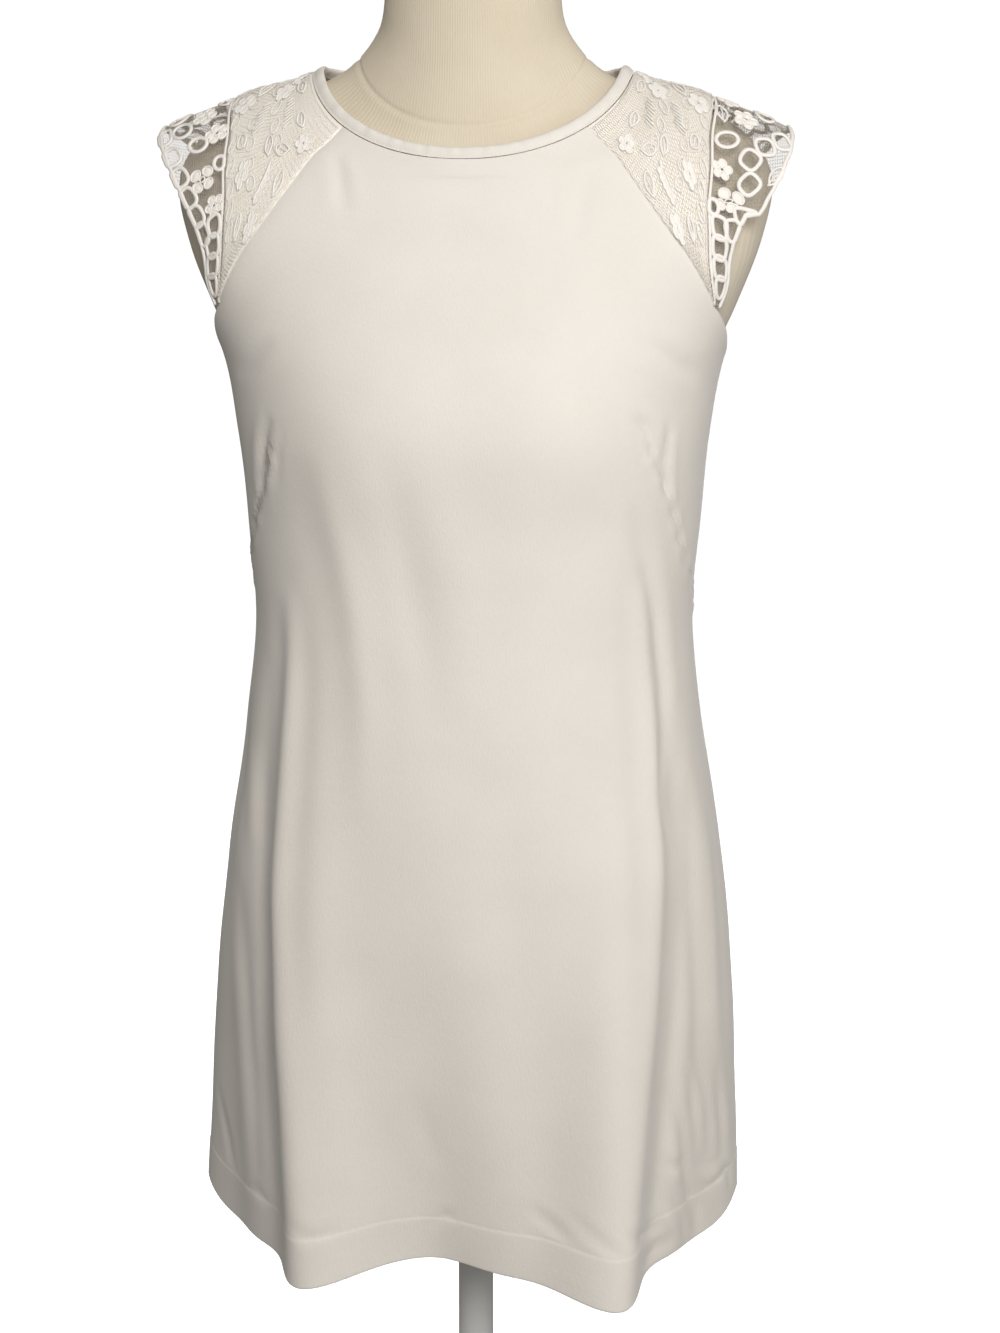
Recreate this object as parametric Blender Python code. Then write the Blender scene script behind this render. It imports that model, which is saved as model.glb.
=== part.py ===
"""Sheath dress with lace shoulders and cap sleeves, worn by a limbless dress form on a plain stand.

Metres, +Z up, origin on the floor at the middle of the stand's base. The dress faces -Y, so the wearer's left is at +X.
Every cloth piece is a thin wall on one garment surface. A place on it is an angle round the body in degrees (0 at the
wearer's left side seam, -90 at centre front, 90 at centre back) and a level: the height above the floor up to the
underarm, and from there on the length run up the side and over the shoulder.
"""

import math
from bisect import bisect_right
from collections import namedtuple
from functools import lru_cache

import bmesh
import bpy
import numpy as np
from mathutils import Matrix, Vector
from mathutils.geometry import delaunay_2d_cdt

# Cloth walls
CLOTH = 0.0016
HEM_TURNUP = 0.0365
HEM_WALL = 0.0030
LINING = 0.0012
LACE = 0.0011
LACE_LIFT = 0.0016
BINDING_WALL = 0.0026
SEAM_GAP = 0.0003

# Levels on the garment surface
HEM = 0.505
UNDERARM = 1.178
NECK_SEAM = 1.4495
NECK_EDGE = 1.459
BINDING_GAP = 0.0006

# Steps along the seams, the same on both pieces that meet there
SIDE_STEPS = 12
ARMHOLE_STEPS = 3
RAGLAN_STEPS = 9
HALF_FRONT_STEPS = 15
SHOULDER_STEPS = 20

# Zip in the centre-back seam
ZIP_ROWS = 18
TAPE_WIDTH = 0.012
TAPE_WALL = 0.0008
TAPE_GAP = 0.0007
SLIDER_LEVEL = 1.436

# Zip slider and pull tab, measured from the tab's axis along the seam and away from the cloth
AXIS_HEIGHT = 0.0044
TAB_TIP_HEIGHT = 0.0036
PLATE_WIDTH = 0.0064
PLATE_HALF_LENGTH = 0.0042
PLATE_LOW = -0.0028
PLATE_HIGH = -0.0012
PLATE_BEVEL = 0.0003
BRIDGE_HALF_WIDTH = 0.0008
BRIDGE_UNDERSIDE = 0.0012
BRIDGE_TOP = 0.0020
BRIDGE_FOOT = 0.0009
WINDOW_MARGIN = 0.0002
PULL_LENGTH = 0.023
TAB_THICKNESS = 0.0010
TAB_EYE_WIDTH = 0.0028
TAB_EYE = (0.0006, 0.0060)

# The pull tab's half width at distances down from its axis
TAB_SHAPE = ((0.0026, -0.0006), (0.0028, 0.0050), (0.0034, 0.0170), (0.0030, 0.0215), (0.0020, PULL_LENGTH))

# Dress form and stand
FORM_STEPS = 32
FORM_ROWS_PER_RING = 2
CAP_THICKNESS = 0.010
CAP_RIM = 0.0025
CAP_OVERHANG = 0.03
FORM_BOTTOM = 0.640
POLE_RADIUS = 0.014
POLE_STEPS = 24
FLANGE_RADIUS = 0.032
FLANGE_HEIGHT = 0.010
BASE_RADIUS = 0.200
BASE_THICKNESS = 0.008
BASE_RIM = 0.002
BASE_STEPS = 48

Ring = namedtuple("Ring", "level side_z front_z back_z half_width front back squareness")

# The dress, from hem to neckline edge. front and back are depths from the side seams, squareness is 2 for an ellipse.
DRESS_RINGS = (
    Ring(0.505, 0.505, 0.505, 0.505, 0.2090, 0.164, 0.160, 1.95),
    Ring(0.600, 0.600, 0.600, 0.600, 0.2060, 0.160, 0.156, 2.05),
    Ring(0.700, 0.700, 0.700, 0.700, 0.2010, 0.156, 0.150, 2.15),
    Ring(0.800, 0.800, 0.800, 0.800, 0.1900, 0.150, 0.144, 2.25),
    Ring(0.900, 0.900, 0.900, 0.900, 0.1740, 0.141, 0.129, 2.25),
    Ring(0.985, 0.985, 0.985, 0.985, 0.1655, 0.134, 0.112, 2.25),
    Ring(1.050, 1.050, 1.050, 1.050, 0.1700, 0.133, 0.107, 2.20),
    Ring(1.120, 1.120, 1.120, 1.120, 0.1765, 0.134, 0.110, 2.20),
    Ring(1.175, 1.175, 1.165, 1.175, 0.1860, 0.128, 0.114, 2.20),
    Ring(1.215, 1.215, 1.195, 1.212, 0.2010, 0.120, 0.116, 2.20),
    Ring(1.262, 1.262, 1.225, 1.255, 0.2185, 0.111, 0.115, 2.20),
    Ring(1.305, 1.305, 1.252, 1.298, 0.2250, 0.102, 0.107, 2.20),
    Ring(1.345, 1.338, 1.277, 1.333, 0.2110, 0.095, 0.092, 2.20),
    Ring(1.392, 1.363, 1.300, 1.356, 0.1700, 0.088, 0.074, 2.20),
    Ring(1.450, 1.379, 1.3175, 1.370, 0.1170, 0.082, 0.060, 2.10),
    Ring(1.459, 1.3835, 1.3260, 1.377, 0.1090, 0.078, 0.056, 2.10),
)

# The form inside it, from its flat bottom to the top of its neck. It is slimmer than the skirt, which hangs free.
FORM_RINGS = (
    Ring(0.640, 0.640, 0.640, 0.640, 0.1480, 0.104, 0.112, 2.20),
    Ring(0.720, 0.720, 0.720, 0.720, 0.1640, 0.118, 0.128, 2.20),
    Ring(0.800, 0.800, 0.800, 0.800, 0.1660, 0.118, 0.130, 2.20),
    Ring(0.900, 0.900, 0.900, 0.900, 0.1500, 0.108, 0.110, 2.15),
    Ring(0.985, 0.985, 0.985, 0.985, 0.1340, 0.100, 0.090, 2.10),
    Ring(1.050, 1.050, 1.050, 1.050, 0.1460, 0.112, 0.091, 2.10),
    Ring(1.120, 1.120, 1.120, 1.120, 0.1640, 0.127, 0.101, 2.15),
    Ring(1.175, 1.175, 1.165, 1.175, 0.1775, 0.1205, 0.105, 2.15),
    Ring(1.215, 1.213, 1.194, 1.210, 0.1940, 0.1125, 0.107, 2.15),
    Ring(1.262, 1.262, 1.224, 1.252, 0.2120, 0.1035, 0.106, 2.15),
    Ring(1.305, 1.303, 1.250, 1.292, 0.2180, 0.0945, 0.098, 2.15),
    Ring(1.345, 1.331, 1.272, 1.325, 0.2030, 0.0875, 0.083, 2.15),
    Ring(1.392, 1.356, 1.293, 1.347, 0.1620, 0.0805, 0.066, 2.15),
    Ring(1.445, 1.3705, 1.3090, 1.360, 0.1120, 0.0755, 0.0535, 2.10),
    Ring(1.475, 1.3860, 1.3360, 1.374, 0.0860, 0.0610, 0.0470, 2.05),
    Ring(1.500, 1.4080, 1.3740, 1.401, 0.0690, 0.0550, 0.0450, 2.05),
    Ring(1.530, 1.4360, 1.4200, 1.434, 0.0635, 0.0530, 0.0460, 2.05),
    Ring(1.562, 1.4680, 1.4680, 1.468, 0.0630, 0.0530, 0.0480, 2.05),
)

# How far from the side seam, as a share of the depth, a ring's height starts to fall towards front and back
HEIGHT_SOFTNESS = 0.22

# Folds of the free skirt: each runs from the hem up to its top, moving the cloth out by its depth at the hem. hem_rise
# lifts the hem edge there.
Fold = namedtuple("Fold", "angle top_angle top depth width hem_rise")
FOLDS = (
    Fold(-124.5, -136, 1.02, 0.031, 9.5, -0.009),
    Fold(-96, -100, 0.86, -0.024, 19, 0.008),
    Fold(-54.5, -41, 0.98, 0.040, 9.5, -0.012),
    Fold(-158, -160, 0.95, -0.007, 9, 0.0),
    Fold(-22, -24, 0.95, -0.008, 9, 0.0),
    Fold(28, 30, 0.94, -0.008, 11, 0.0),
    Fold(56, 48, 0.96, 0.012, 12, -0.002),
    Fold(84, 86, 0.84, -0.016, 13, 0.005),
    Fold(112, 116, 0.90, 0.010, 11, -0.002),
    Fold(146, 148, 0.93, -0.009, 12, 0.002),
    Fold(-176, -178, 0.80, 0.007, 9, 0.014),
    Fold(-3, -2, 0.80, 0.0, 10, 0.016),
)

# Room that the darts and the back give: a soft swelling round a place, with its half height and half width.
Fullness = namedtuple("Fullness", "angle level depth height width")
FULLNESS = (
    Fullness(-60, 1.125, 0.0070, 0.060, 22),
    Fullness(-120, 1.125, 0.0070, 0.060, 22),
    Fullness(58, 1.215, 0.0030, 0.060, 22),
    Fullness(122, 1.215, 0.0030, 0.060, 22),
)

# Seams as places on the surface, on the wearer's left, at the front. The back has the same at positive angles.
ARMHOLE = ((0.0, UNDERARM), (-7.0, 1.188), (-13.5, 1.204), (-20.0, 1.226))
RAGLAN = ((-20.0, 1.226), (-22.8, 1.245), (-27.4, 1.290), (-31.1, 1.343), (-33.0, NECK_SEAM))
SHOULDER_END = ((-20.0, 1.226), (-22.0, 1.252), (-22.3, 1.298), (-20.0, 1.336), (-13.0, 1.374), (0.0, 1.390))
SLEEVE_EDGE = ((-18.4, 1.2225), (-17.7, 1.238), (-18.4, 1.262), (-17.0, 1.298), (-10.5, 1.332), (0.0, 1.347))
SLEEVE_FLARE = 0.020
METRES_PER_DEGREE = 0.0035

# Rows of open cells between the cords of the lace: where across the piece (0 at the inner edge of the row's side), how
# many, the cell's length and width, and how far the cells lean from the row's direction.
CellRow = namedtuple("CellRow", "across start end count length width lean")
SLEEVE_CELLS = (
    CellRow(0.80, 0.075, 0.925, 20, 0.0105, 0.0062, 26),
    CellRow(0.44, 0.300, 0.700, 9, 0.0095, 0.0070, -20),
)
SHOULDER_CELLS = (
    CellRow(0.10, 0.120, 0.880, 15, 0.0110, 0.0066, 24),
    CellRow(0.36, 0.150, 0.850, 12, 0.0110, 0.0070, -24),
    CellRow(0.64, 0.160, 0.840, 9, 0.0110, 0.0070, 24),
)
CELL_FILL = 0.8
CELL_SHRINK = 0.6
SMALLEST_CELL = 0.004
CELL_CLEARANCE = 0.35
SHOULDER_LACE_MARGIN = 0.022
SLEEVE_MARGIN = 0.03
SLEEVE_GRID = (20, 4)
SHOULDER_LACE_GRID = (20, 8)

COLOURS = {
    "crepe": (0.86, 0.82, 0.76),
    "binding": (0.87, 0.82, 0.78),
    "lining": (0.86, 0.81, 0.73),
    "lace": (0.90, 0.87, 0.83),
    "tape": (0.84, 0.80, 0.74),
    "jersey": (0.72, 0.66, 0.54),
    "wood": (0.42, 0.27, 0.15),
    "steel": (0.84, 0.84, 0.83),
    "enamel": (0.78, 0.76, 0.72),
}


def clear_scene():
    for obj in list(bpy.data.objects):
        bpy.data.objects.remove(obj, do_unlink=True)


def principled(name, colour, roughness, metallic=0.0):
    material = bpy.data.materials.new(name)
    material.use_nodes = True
    shader = material.node_tree.nodes["Principled BSDF"]
    shader.inputs["Base Color"].default_value = (*colour, 1.0)
    shader.inputs["Roughness"].default_value = roughness
    shader.inputs["Metallic"].default_value = metallic
    return material


def add_object(name, mesh_builder, material, smooth_angle=40):
    """A new object from a bmesh, faces outward, shaded smooth but for its sharp edges."""
    bmesh.ops.recalc_face_normals(mesh_builder, faces=mesh_builder.faces)
    mesh = bpy.data.meshes.new(name)
    mesh_builder.to_mesh(mesh)
    mesh_builder.free()
    mesh.shade_smooth()
    mesh.set_sharp_from_angle(angle=math.radians(smooth_angle))
    obj = bpy.data.objects.new(name, mesh)
    obj.data.materials.append(material)
    bpy.context.scene.collection.objects.link(obj)
    return obj


# The garment surface


def smooth_step_between(knots, values, slopes, where):
    """The smooth curve through values at knots, at one place along it."""
    row = min(max(bisect_right(knots, where) - 1, 0), len(knots) - 2)
    span = knots[row + 1] - knots[row]
    t = (where - knots[row]) / span
    start = (2 * t**3 - 3 * t**2 + 1) * values[row] + (t**3 - 2 * t**2 + t) * span * slopes[row]
    end = (3 * t**2 - 2 * t**3) * values[row + 1] + (t**3 - t**2) * span * slopes[row + 1]
    return start + end


@lru_cache(maxsize=None)
def ring_curve(rings, column):
    levels = [ring.level for ring in rings]
    values = [getattr(ring, column) for ring in rings]
    return levels, values, list(np.gradient(values, levels))


@lru_cache(maxsize=None)
def ring_value(rings, column, level):
    """A column of a ring table at any level, as a smooth curve through its rows."""
    level = min(max(level, rings[0].level), rings[-1].level)
    return smooth_step_between(*ring_curve(rings, column), level)


def ring_point(rings, angle, level, out=0.0, rise=0.0):
    """The point at this angle and level, moved out from the axis and up."""
    turn = math.radians(angle)
    facing_front = math.sin(turn) < 0
    depth = ring_value(rings, "front" if facing_front else "back", level)
    end_z = ring_value(rings, "front_z" if facing_front else "back_z", level)
    side_z = ring_value(rings, "side_z", level)
    power = ring_value(rings, "squareness", level)
    across = abs(math.cos(turn)) / ring_value(rings, "half_width", level)
    along = abs(math.sin(turn)) / depth
    radius = (across**power + along**power) ** (-1 / power)
    share = radius * along
    fall = math.hypot(share, HEIGHT_SOFTNESS) - HEIGHT_SOFTNESS
    fall /= math.hypot(1, HEIGHT_SOFTNESS) - HEIGHT_SOFTNESS
    radius += out
    z = side_z + (end_z - side_z) * fall + rise
    return Vector((radius * math.cos(turn), radius * math.sin(turn), z))


def turn_between(angle, centre):
    return (angle - centre + 180) % 360 - 180


def bell(distance, width):
    return math.exp(-((distance / width) ** 2))


def drape(angle, level):
    """How far out the folds and the fullness move the cloth here, and how far up at the hem."""
    out = 0.0
    rise = 0.0
    for fold in FOLDS:
        height = (level - HEM) / (fold.top - HEM)
        if height >= 1:
            continue
        centre = fold.angle + (fold.top_angle - fold.angle) * height
        strength = (1 - height) ** 1.5 * bell(turn_between(angle, centre), fold.width)
        out += fold.depth * strength
        rise += fold.hem_rise * strength * (1 - height) ** 2
    for room in FULLNESS:
        near = bell(turn_between(angle, room.angle), room.width)
        out += room.depth * near * bell(level - room.level, room.height)
    return out, rise


def cloth_point(angle, level):
    out, rise = drape(angle, level)
    return ring_point(DRESS_RINGS, angle, level, out, rise)


def cloth_normal(angle, level):
    """Outward, from two short steps on the surface."""
    turn_step = 0.5
    level_step = 0.002
    low = max(level - level_step, HEM)
    high = min(level + level_step, NECK_EDGE)
    round_body = cloth_point(angle + turn_step, level) - cloth_point(angle - turn_step, level)
    upward = cloth_point(angle, high) - cloth_point(angle, low)
    return round_body.cross(upward).normalized()


def lifted(place, lift):
    angle, level = place
    return cloth_point(angle, level) + cloth_normal(angle, level) * lift


# Seam lines and patches in angle and level


def smooth_line(places, steps):
    """steps + 1 places spread evenly along a smooth line through the given ones."""
    knots = np.array(places, float)
    scaled = knots * (METRES_PER_DEGREE, 1.0)
    run = np.concatenate(([0.0], np.cumsum(np.linalg.norm(np.diff(scaled, axis=0), axis=1))))
    slopes = np.gradient(knots, run, axis=0)
    line = []
    for distance in np.linspace(0, run[-1], steps + 1):
        line.append(smooth_step_between(list(run), knots, slopes, distance))
    return np.array(line)


def mirrored_back(line):
    """The same line on the back of the body."""
    return line * (-1.0, 1.0)


def over_shoulder(places, steps):
    """A line from the front over the shoulder to the back, from its front half."""
    front = smooth_line(places, steps // 2)
    return np.concatenate([front, mirrored_back(front[-2::-1])])


def neck_line(start, end, steps, level=NECK_SEAM):
    return np.stack([np.linspace(start, end, steps + 1), np.full(steps + 1, level)], axis=1)


def coons(bottom, top, left, right):
    """A grid of places spanned by four border lines. bottom and top run left to right, left and right run upwards."""
    columns = len(bottom) - 1
    rows = len(left) - 1
    u = np.linspace(0, 1, columns + 1)[None, :, None]
    v = np.linspace(0, 1, rows + 1)[:, None, None]
    ruled = (1 - v) * bottom[None] + v * top[None] + (1 - u) * left[:, None] + u * right[:, None]
    corners = (1 - v) * ((1 - u) * bottom[0] + u * bottom[-1]) + v * ((1 - u) * top[0] + u * top[-1])
    return ruled - corners


def body_border():
    """The edge of a body piece from the hem up the side seam, round the armhole and along the raglan seam. Two close
    rows mark the top of the hem's turn-up."""
    turned_up = HEM + HEM_TURNUP
    side = np.zeros((SIDE_STEPS + 2, 2))
    side[0, 1] = HEM
    side[1, 1] = turned_up
    side[2:, 1] = np.linspace(turned_up + HEM_WALL - CLOTH, UNDERARM, SIDE_STEPS + 1)[:-1]
    armhole = smooth_line(ARMHOLE, ARMHOLE_STEPS)
    raglan = smooth_line(RAGLAN, RAGLAN_STEPS)
    return np.concatenate([side, armhole, raglan[1:]])


def body_grid(border, end_angles, steps):
    """Level rows of places from a border across to the end angles."""
    share = np.linspace(0, 1, steps + 1)
    grid = np.empty((len(border), steps + 1, 2))
    grid[:, :, 0] = border[:, :1] * (1 - share) + end_angles[:, None] * share
    grid[:, :, 1] = border[:, 1:]
    return grid


# Thin walls


def wall(name, points_out, points_in, faces, material):
    """A closed wall between two sheets of points that share the same faces."""
    builder = bmesh.new()
    outer = [builder.verts.new(point) for point in points_out]
    inner = [builder.verts.new(point) for point in points_in]
    for face in faces:
        builder.faces.new([outer[i] for i in face])
        builder.faces.new([inner[i] for i in reversed(face)])
    partner = dict(zip(outer, inner))
    rims = [edge for edge in builder.edges if len(edge.link_faces) == 1 and edge.verts[0] in partner]
    for edge in rims:
        a, b = edge.verts
        builder.faces.new((a, b, partner[b], partner[a]))
    return add_object(name, builder, material)


def grid_faces(grid):
    """Triangles over a grid of points, each square cut along its shorter diagonal."""
    rows, columns = grid.shape[:2]
    faces = []
    for row in range(rows - 1):
        for column in range(columns - 1):
            low = row * columns + column
            high = low + columns
            rising = np.linalg.norm(grid[row + 1, column + 1] - grid[row, column])
            falling = np.linalg.norm(grid[row + 1, column] - grid[row, column + 1])
            if rising < falling:
                faces += [(low, low + 1, high + 1), (low, high + 1, high)]
            else:
                faces += [(low, low + 1, high), (low + 1, high + 1, high)]
    return faces


def parted(grid, gap):
    """The grid of points with its border drawn in by half a gap, so that neighbours don't touch."""
    drawn = grid.copy()
    borders = (np.s_[0], np.s_[-1], np.s_[:, 0], np.s_[:, -1])
    insides = (np.s_[1], np.s_[-2], np.s_[:, 1], np.s_[:, -2])
    for border, inside in zip(borders, insides):
        step = grid[inside] - grid[border]
        drawn[border] += step / np.linalg.norm(step, axis=-1, keepdims=True) * gap
    return drawn


def panel(name, grid, thickness, material, lift=0.0, hem_wall=None):
    """A wall on a grid of places. Its outer face lies lift above the garment surface."""
    rows, columns = grid.shape[:2]
    outer = np.empty((rows, columns, 3))
    inner = np.empty((rows, columns, 3))
    for row in range(rows):
        for column in range(columns):
            depth = hem_wall if hem_wall and row < 2 else thickness
            outer[row, column] = lifted(grid[row, column], lift)
            inner[row, column] = lifted(grid[row, column], lift - depth)
    outer = parted(outer, SEAM_GAP)
    inner = parted(inner, SEAM_GAP)
    return wall(name, outer.reshape(-1, 3), inner.reshape(-1, 3), grid_faces(outer), material)


def leaf(centre, length, width, lean, scale):
    """A pointed oval of six corners in patch coordinates. scale turns metres into them."""
    turn = math.radians(lean)
    outline = ((0.5, 0.0), (0.22, 0.5), (-0.22, 0.5), (-0.5, 0.0), (-0.22, -0.5), (0.22, -0.5))
    corners = []
    for along, across in outline:
        x = along * length * math.cos(turn) - across * width * math.sin(turn)
        y = along * length * math.sin(turn) + across * width * math.cos(turn)
        corners.append(Vector((centre[0] + x * scale[0], centre[1] + y * scale[1])))
    return corners


def inside(point, outline):
    """Whether a flat point lies in a convex outline that runs anticlockwise."""
    return all((b - a).cross(point - a) >= 0 for a, b in zip(outline, outline[1:] + outline[:1]))


def pierced_patch(holes, grid_size):
    """Flat points and triangles of the unit square less its holes."""
    columns, rows = grid_size
    points = []
    edges = []
    border = [(i / columns, 0.0) for i in range(columns)]
    border += [(1.0, i / rows) for i in range(rows)]
    border += [(1 - i / columns, 1.0) for i in range(columns)]
    border += [(0.0, 1 - i / rows) for i in range(rows)]
    for outline in [[Vector(place) for place in border], *holes]:
        first = len(points)
        points += outline
        edges += [(first + i, first + (i + 1) % len(outline)) for i in range(len(outline))]
    for i in range(1, columns):
        for j in range(1, rows):
            place = Vector((i / columns, j / rows))
            near = min(((place - corner).length for hole in holes for corner in hole), default=1.0)
            if near > CELL_CLEARANCE / columns and not any(inside(place, hole) for hole in holes):
                points.append(place)
    flat, _, faces, *_ = delaunay_2d_cdt(points, edges, [], 0, 1e-6)
    kept = []
    for face in faces:
        middle = sum((flat[i] for i in face), Vector((0, 0))) / len(face)
        if not any(inside(middle, hole) for hole in holes):
            kept.append(tuple(face))
    return flat, kept


def patch_sampler(grid):
    """A function that gives the place at (t, s) of a grid of places, t along its columns and s up its rows."""
    rows, columns = grid.shape[:2]

    def sample(t, s):
        x = min(max(t, 0), 1) * (columns - 1)
        y = min(max(s, 0), 1) * (rows - 1)
        i = min(int(x), columns - 2)
        j = min(int(y), rows - 2)
        low = grid[j, i] * (i + 1 - x) + grid[j, i + 1] * (x - i)
        high = grid[j + 1, i] * (i + 1 - x) + grid[j + 1, i + 1] * (x - i)
        return low * (j + 1 - y) + high * (y - j)

    return sample


def cells(rows, sample):
    """The open cells of a lace patch, at their real size wherever the patch is wide or narrow."""
    step = 0.01
    holes = []
    for row in rows:
        for number in range(row.count):
            t = row.start + (row.end - row.start) * (number + 0.5) / row.count
            here = lifted(sample(t, row.across), 0)
            along = (lifted(sample(t + step, row.across), 0) - here).length / step
            across = (lifted(sample(t, row.across + step), 0) - here).length / step
            room = across * CELL_FILL * min(row.across, 1 - row.across) * 2
            size = min(1.0, room / row.width)
            if row.width * size > SMALLEST_CELL:
                length = row.length * (1 - CELL_SHRINK * (1 - size))
                holes.append(leaf((t, row.across), length, row.width * size, row.lean, (1 / along, 1 / across)))
    return holes


def mirror_x(obj, name):
    """A copy of obj on the other side of the body, with its own mesh."""
    builder = bmesh.new()
    builder.from_mesh(obj.data)
    bmesh.ops.scale(builder, vec=(-1, 1, 1), verts=builder.verts)
    return add_object(name, builder, obj.data.materials[0])


# The pieces of the dress


def make_front(material):
    border = body_border()
    grid = body_grid(border, -180 - border[:, 0], 2 * HALF_FRONT_STEPS)
    panel("dress_front", grid, CLOTH, material, hem_wall=HEM_WALL)


def make_backs(material):
    border = mirrored_back(body_border())
    centre_back = np.full(len(border), 90.0)
    panel("dress_back_left", body_grid(border, centre_back, HALF_FRONT_STEPS), CLOTH, material, hem_wall=HEM_WALL)
    border[:, 0] = 180 - border[:, 0]
    panel("dress_back_right", body_grid(border, centre_back, HALF_FRONT_STEPS), CLOTH, material, hem_wall=HEM_WALL)


def shoulder_grid():
    """The raglan-shaped shoulder of the wearer's left, from the armhole up to the neckline, front to back."""
    outer = over_shoulder(SHOULDER_END, SHOULDER_STEPS)
    neck = neck_line(RAGLAN[-1][0], -RAGLAN[-1][0], SHOULDER_STEPS)
    front = smooth_line(RAGLAN, RAGLAN_STEPS)
    return coons(outer, neck, front, mirrored_back(front))


def make_shoulders(lining_material, lace_material):
    grid = shoulder_grid()
    lining = panel("shoulder_lining_left", grid, LINING, lining_material)
    mirror_x(lining, "shoulder_lining_right")
    sample = patch_sampler(grid)
    flat, faces = pierced_patch(cells(SHOULDER_CELLS, sample), SHOULDER_LACE_GRID)
    kept = 1 - 2 * SHOULDER_LACE_MARGIN
    places = [sample(SHOULDER_LACE_MARGIN + t * kept, SHOULDER_LACE_MARGIN + s * kept) for t, s in flat]
    outer = [lifted(place, LACE_LIFT + LACE) for place in places]
    inner = [lifted(place, LACE_LIFT) for place in places]
    lace = wall("shoulder_lace_left", outer, inner, faces, lace_material)
    mirror_x(lace, "shoulder_lace_right")


def make_sleeves(material):
    """Unlined caps of the same lace, from the shoulder end out to a free edge that stands away from the arm end."""
    columns, rows = SLEEVE_GRID
    seam = over_shoulder(SHOULDER_END, columns)
    edge = over_shoulder(SLEEVE_EDGE, columns)
    share = np.linspace(0, 1, rows + 1)[:, None, None]
    grid = seam[None] * (1 - share) + edge[None] * share
    sample = patch_sampler(grid)
    flat, faces = pierced_patch(cells(SLEEVE_CELLS, sample), SLEEVE_GRID)
    outer = []
    inner = []
    for t, s in flat:
        angle, level = sample(t, SLEEVE_MARGIN + (1 - SLEEVE_MARGIN) * s)
        flare = SLEEVE_FLARE * s**1.3 * math.sin(math.pi * t) ** 4
        turn = math.radians(angle)
        away = Vector((math.cos(turn), math.sin(turn), 0)) * flare
        outer.append(lifted((angle, level), 0) + away)
        inner.append(lifted((angle, level), -LACE) + away)
    sleeve = wall("cap_sleeve_left", outer, inner, faces, material)
    mirror_x(sleeve, "cap_sleeve_right")


def make_binding(material):
    """A folded band all round the neckline edge, a little thicker than the cloth it finishes."""
    front = neck_line(-180 - RAGLAN[-1][0], RAGLAN[-1][0], 2 * HALF_FRONT_STEPS)
    shoulder = neck_line(RAGLAN[-1][0], -RAGLAN[-1][0], SHOULDER_STEPS)
    back = neck_line(-RAGLAN[-1][0], 180 + RAGLAN[-1][0], 2 * HALF_FRONT_STEPS)
    other = neck_line(180 + RAGLAN[-1][0], 180 - RAGLAN[-1][0], SHOULDER_STEPS)
    angles = np.concatenate([line[:-1, 0] for line in (front, shoulder, back, other)])
    low = NECK_SEAM + BINDING_GAP
    high = NECK_EDGE - 0.0012
    section = (
        (low, 0.0004),
        (high, 0.0004),
        (NECK_EDGE, -BINDING_WALL / 2),
        (high, -BINDING_WALL),
        (low, -BINDING_WALL),
    )
    builder = bmesh.new()
    loops = []
    for level, lift in section:
        loops.append([builder.verts.new(lifted((angle, level), lift)) for angle in angles])
    count = len(angles)
    for this, after in zip(loops, loops[1:] + loops[:1]):
        for i in range(count):
            j = (i + 1) % count
            builder.faces.new((this[i], this[j], after[j], after[i]))
    add_object("neck_binding", builder, material)


# The zip in the centre-back seam


def make_zip_tapes(material):
    """Two tapes behind the seam, bent at the same levels as the back, so that they lie against it."""
    levels = body_border()[-ZIP_ROWS - 1 :, 1]
    grid = np.empty((len(levels), 2, 2))
    for row, level in enumerate(levels):
        width = math.degrees(TAPE_WIDTH / ring_value(DRESS_RINGS, "back", level))
        grid[row, :, 0] = (90 - width, 90)
        grid[row, :, 1] = level
    tape = panel("zip_tape_left", grid, TAPE_WALL, material, lift=-(CLOTH + TAPE_GAP))
    mirror_x(tape, "zip_tape_right")


def slider_frame():
    """The pull tab's axis: a frame with X across the back, Y down the slope of the cloth and Z away from it."""
    origin = lifted((90, SLIDER_LEVEL), AXIS_HEIGHT)
    tip = lifted((90, SLIDER_LEVEL - PULL_LENGTH), TAB_TIP_HEIGHT)
    down = (tip - origin).normalized()
    across = Vector((1, 0, 0))
    away = across.cross(down)
    frame = Matrix((across, down, away)).transposed().to_4x4()
    frame.translation = origin
    return frame


def bevelled_box(builder, centre, size, bevel):
    made = bmesh.ops.create_cube(builder, size=1.0)
    bmesh.ops.scale(builder, vec=size, verts=made["verts"])
    bmesh.ops.translate(builder, vec=centre, verts=made["verts"])
    if bevel:
        edges = {edge for vert in made["verts"] for edge in vert.link_edges}
        bmesh.ops.bevel(builder, geom=list(edges), offset=bevel, segments=1, affect="EDGES")


def bar(builder, outline, half_width):
    """A flat outline in the slider frame's YZ plane, extruded across."""
    near = [builder.verts.new((-half_width, y, z)) for y, z in outline]
    far = [builder.verts.new((half_width, y, z)) for y, z in outline]
    builder.faces.new(near)
    builder.faces.new(far[::-1])
    for i in range(len(outline)):
        j = (i + 1) % len(outline)
        builder.faces.new((near[i], far[i], far[j], near[j]))


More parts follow.
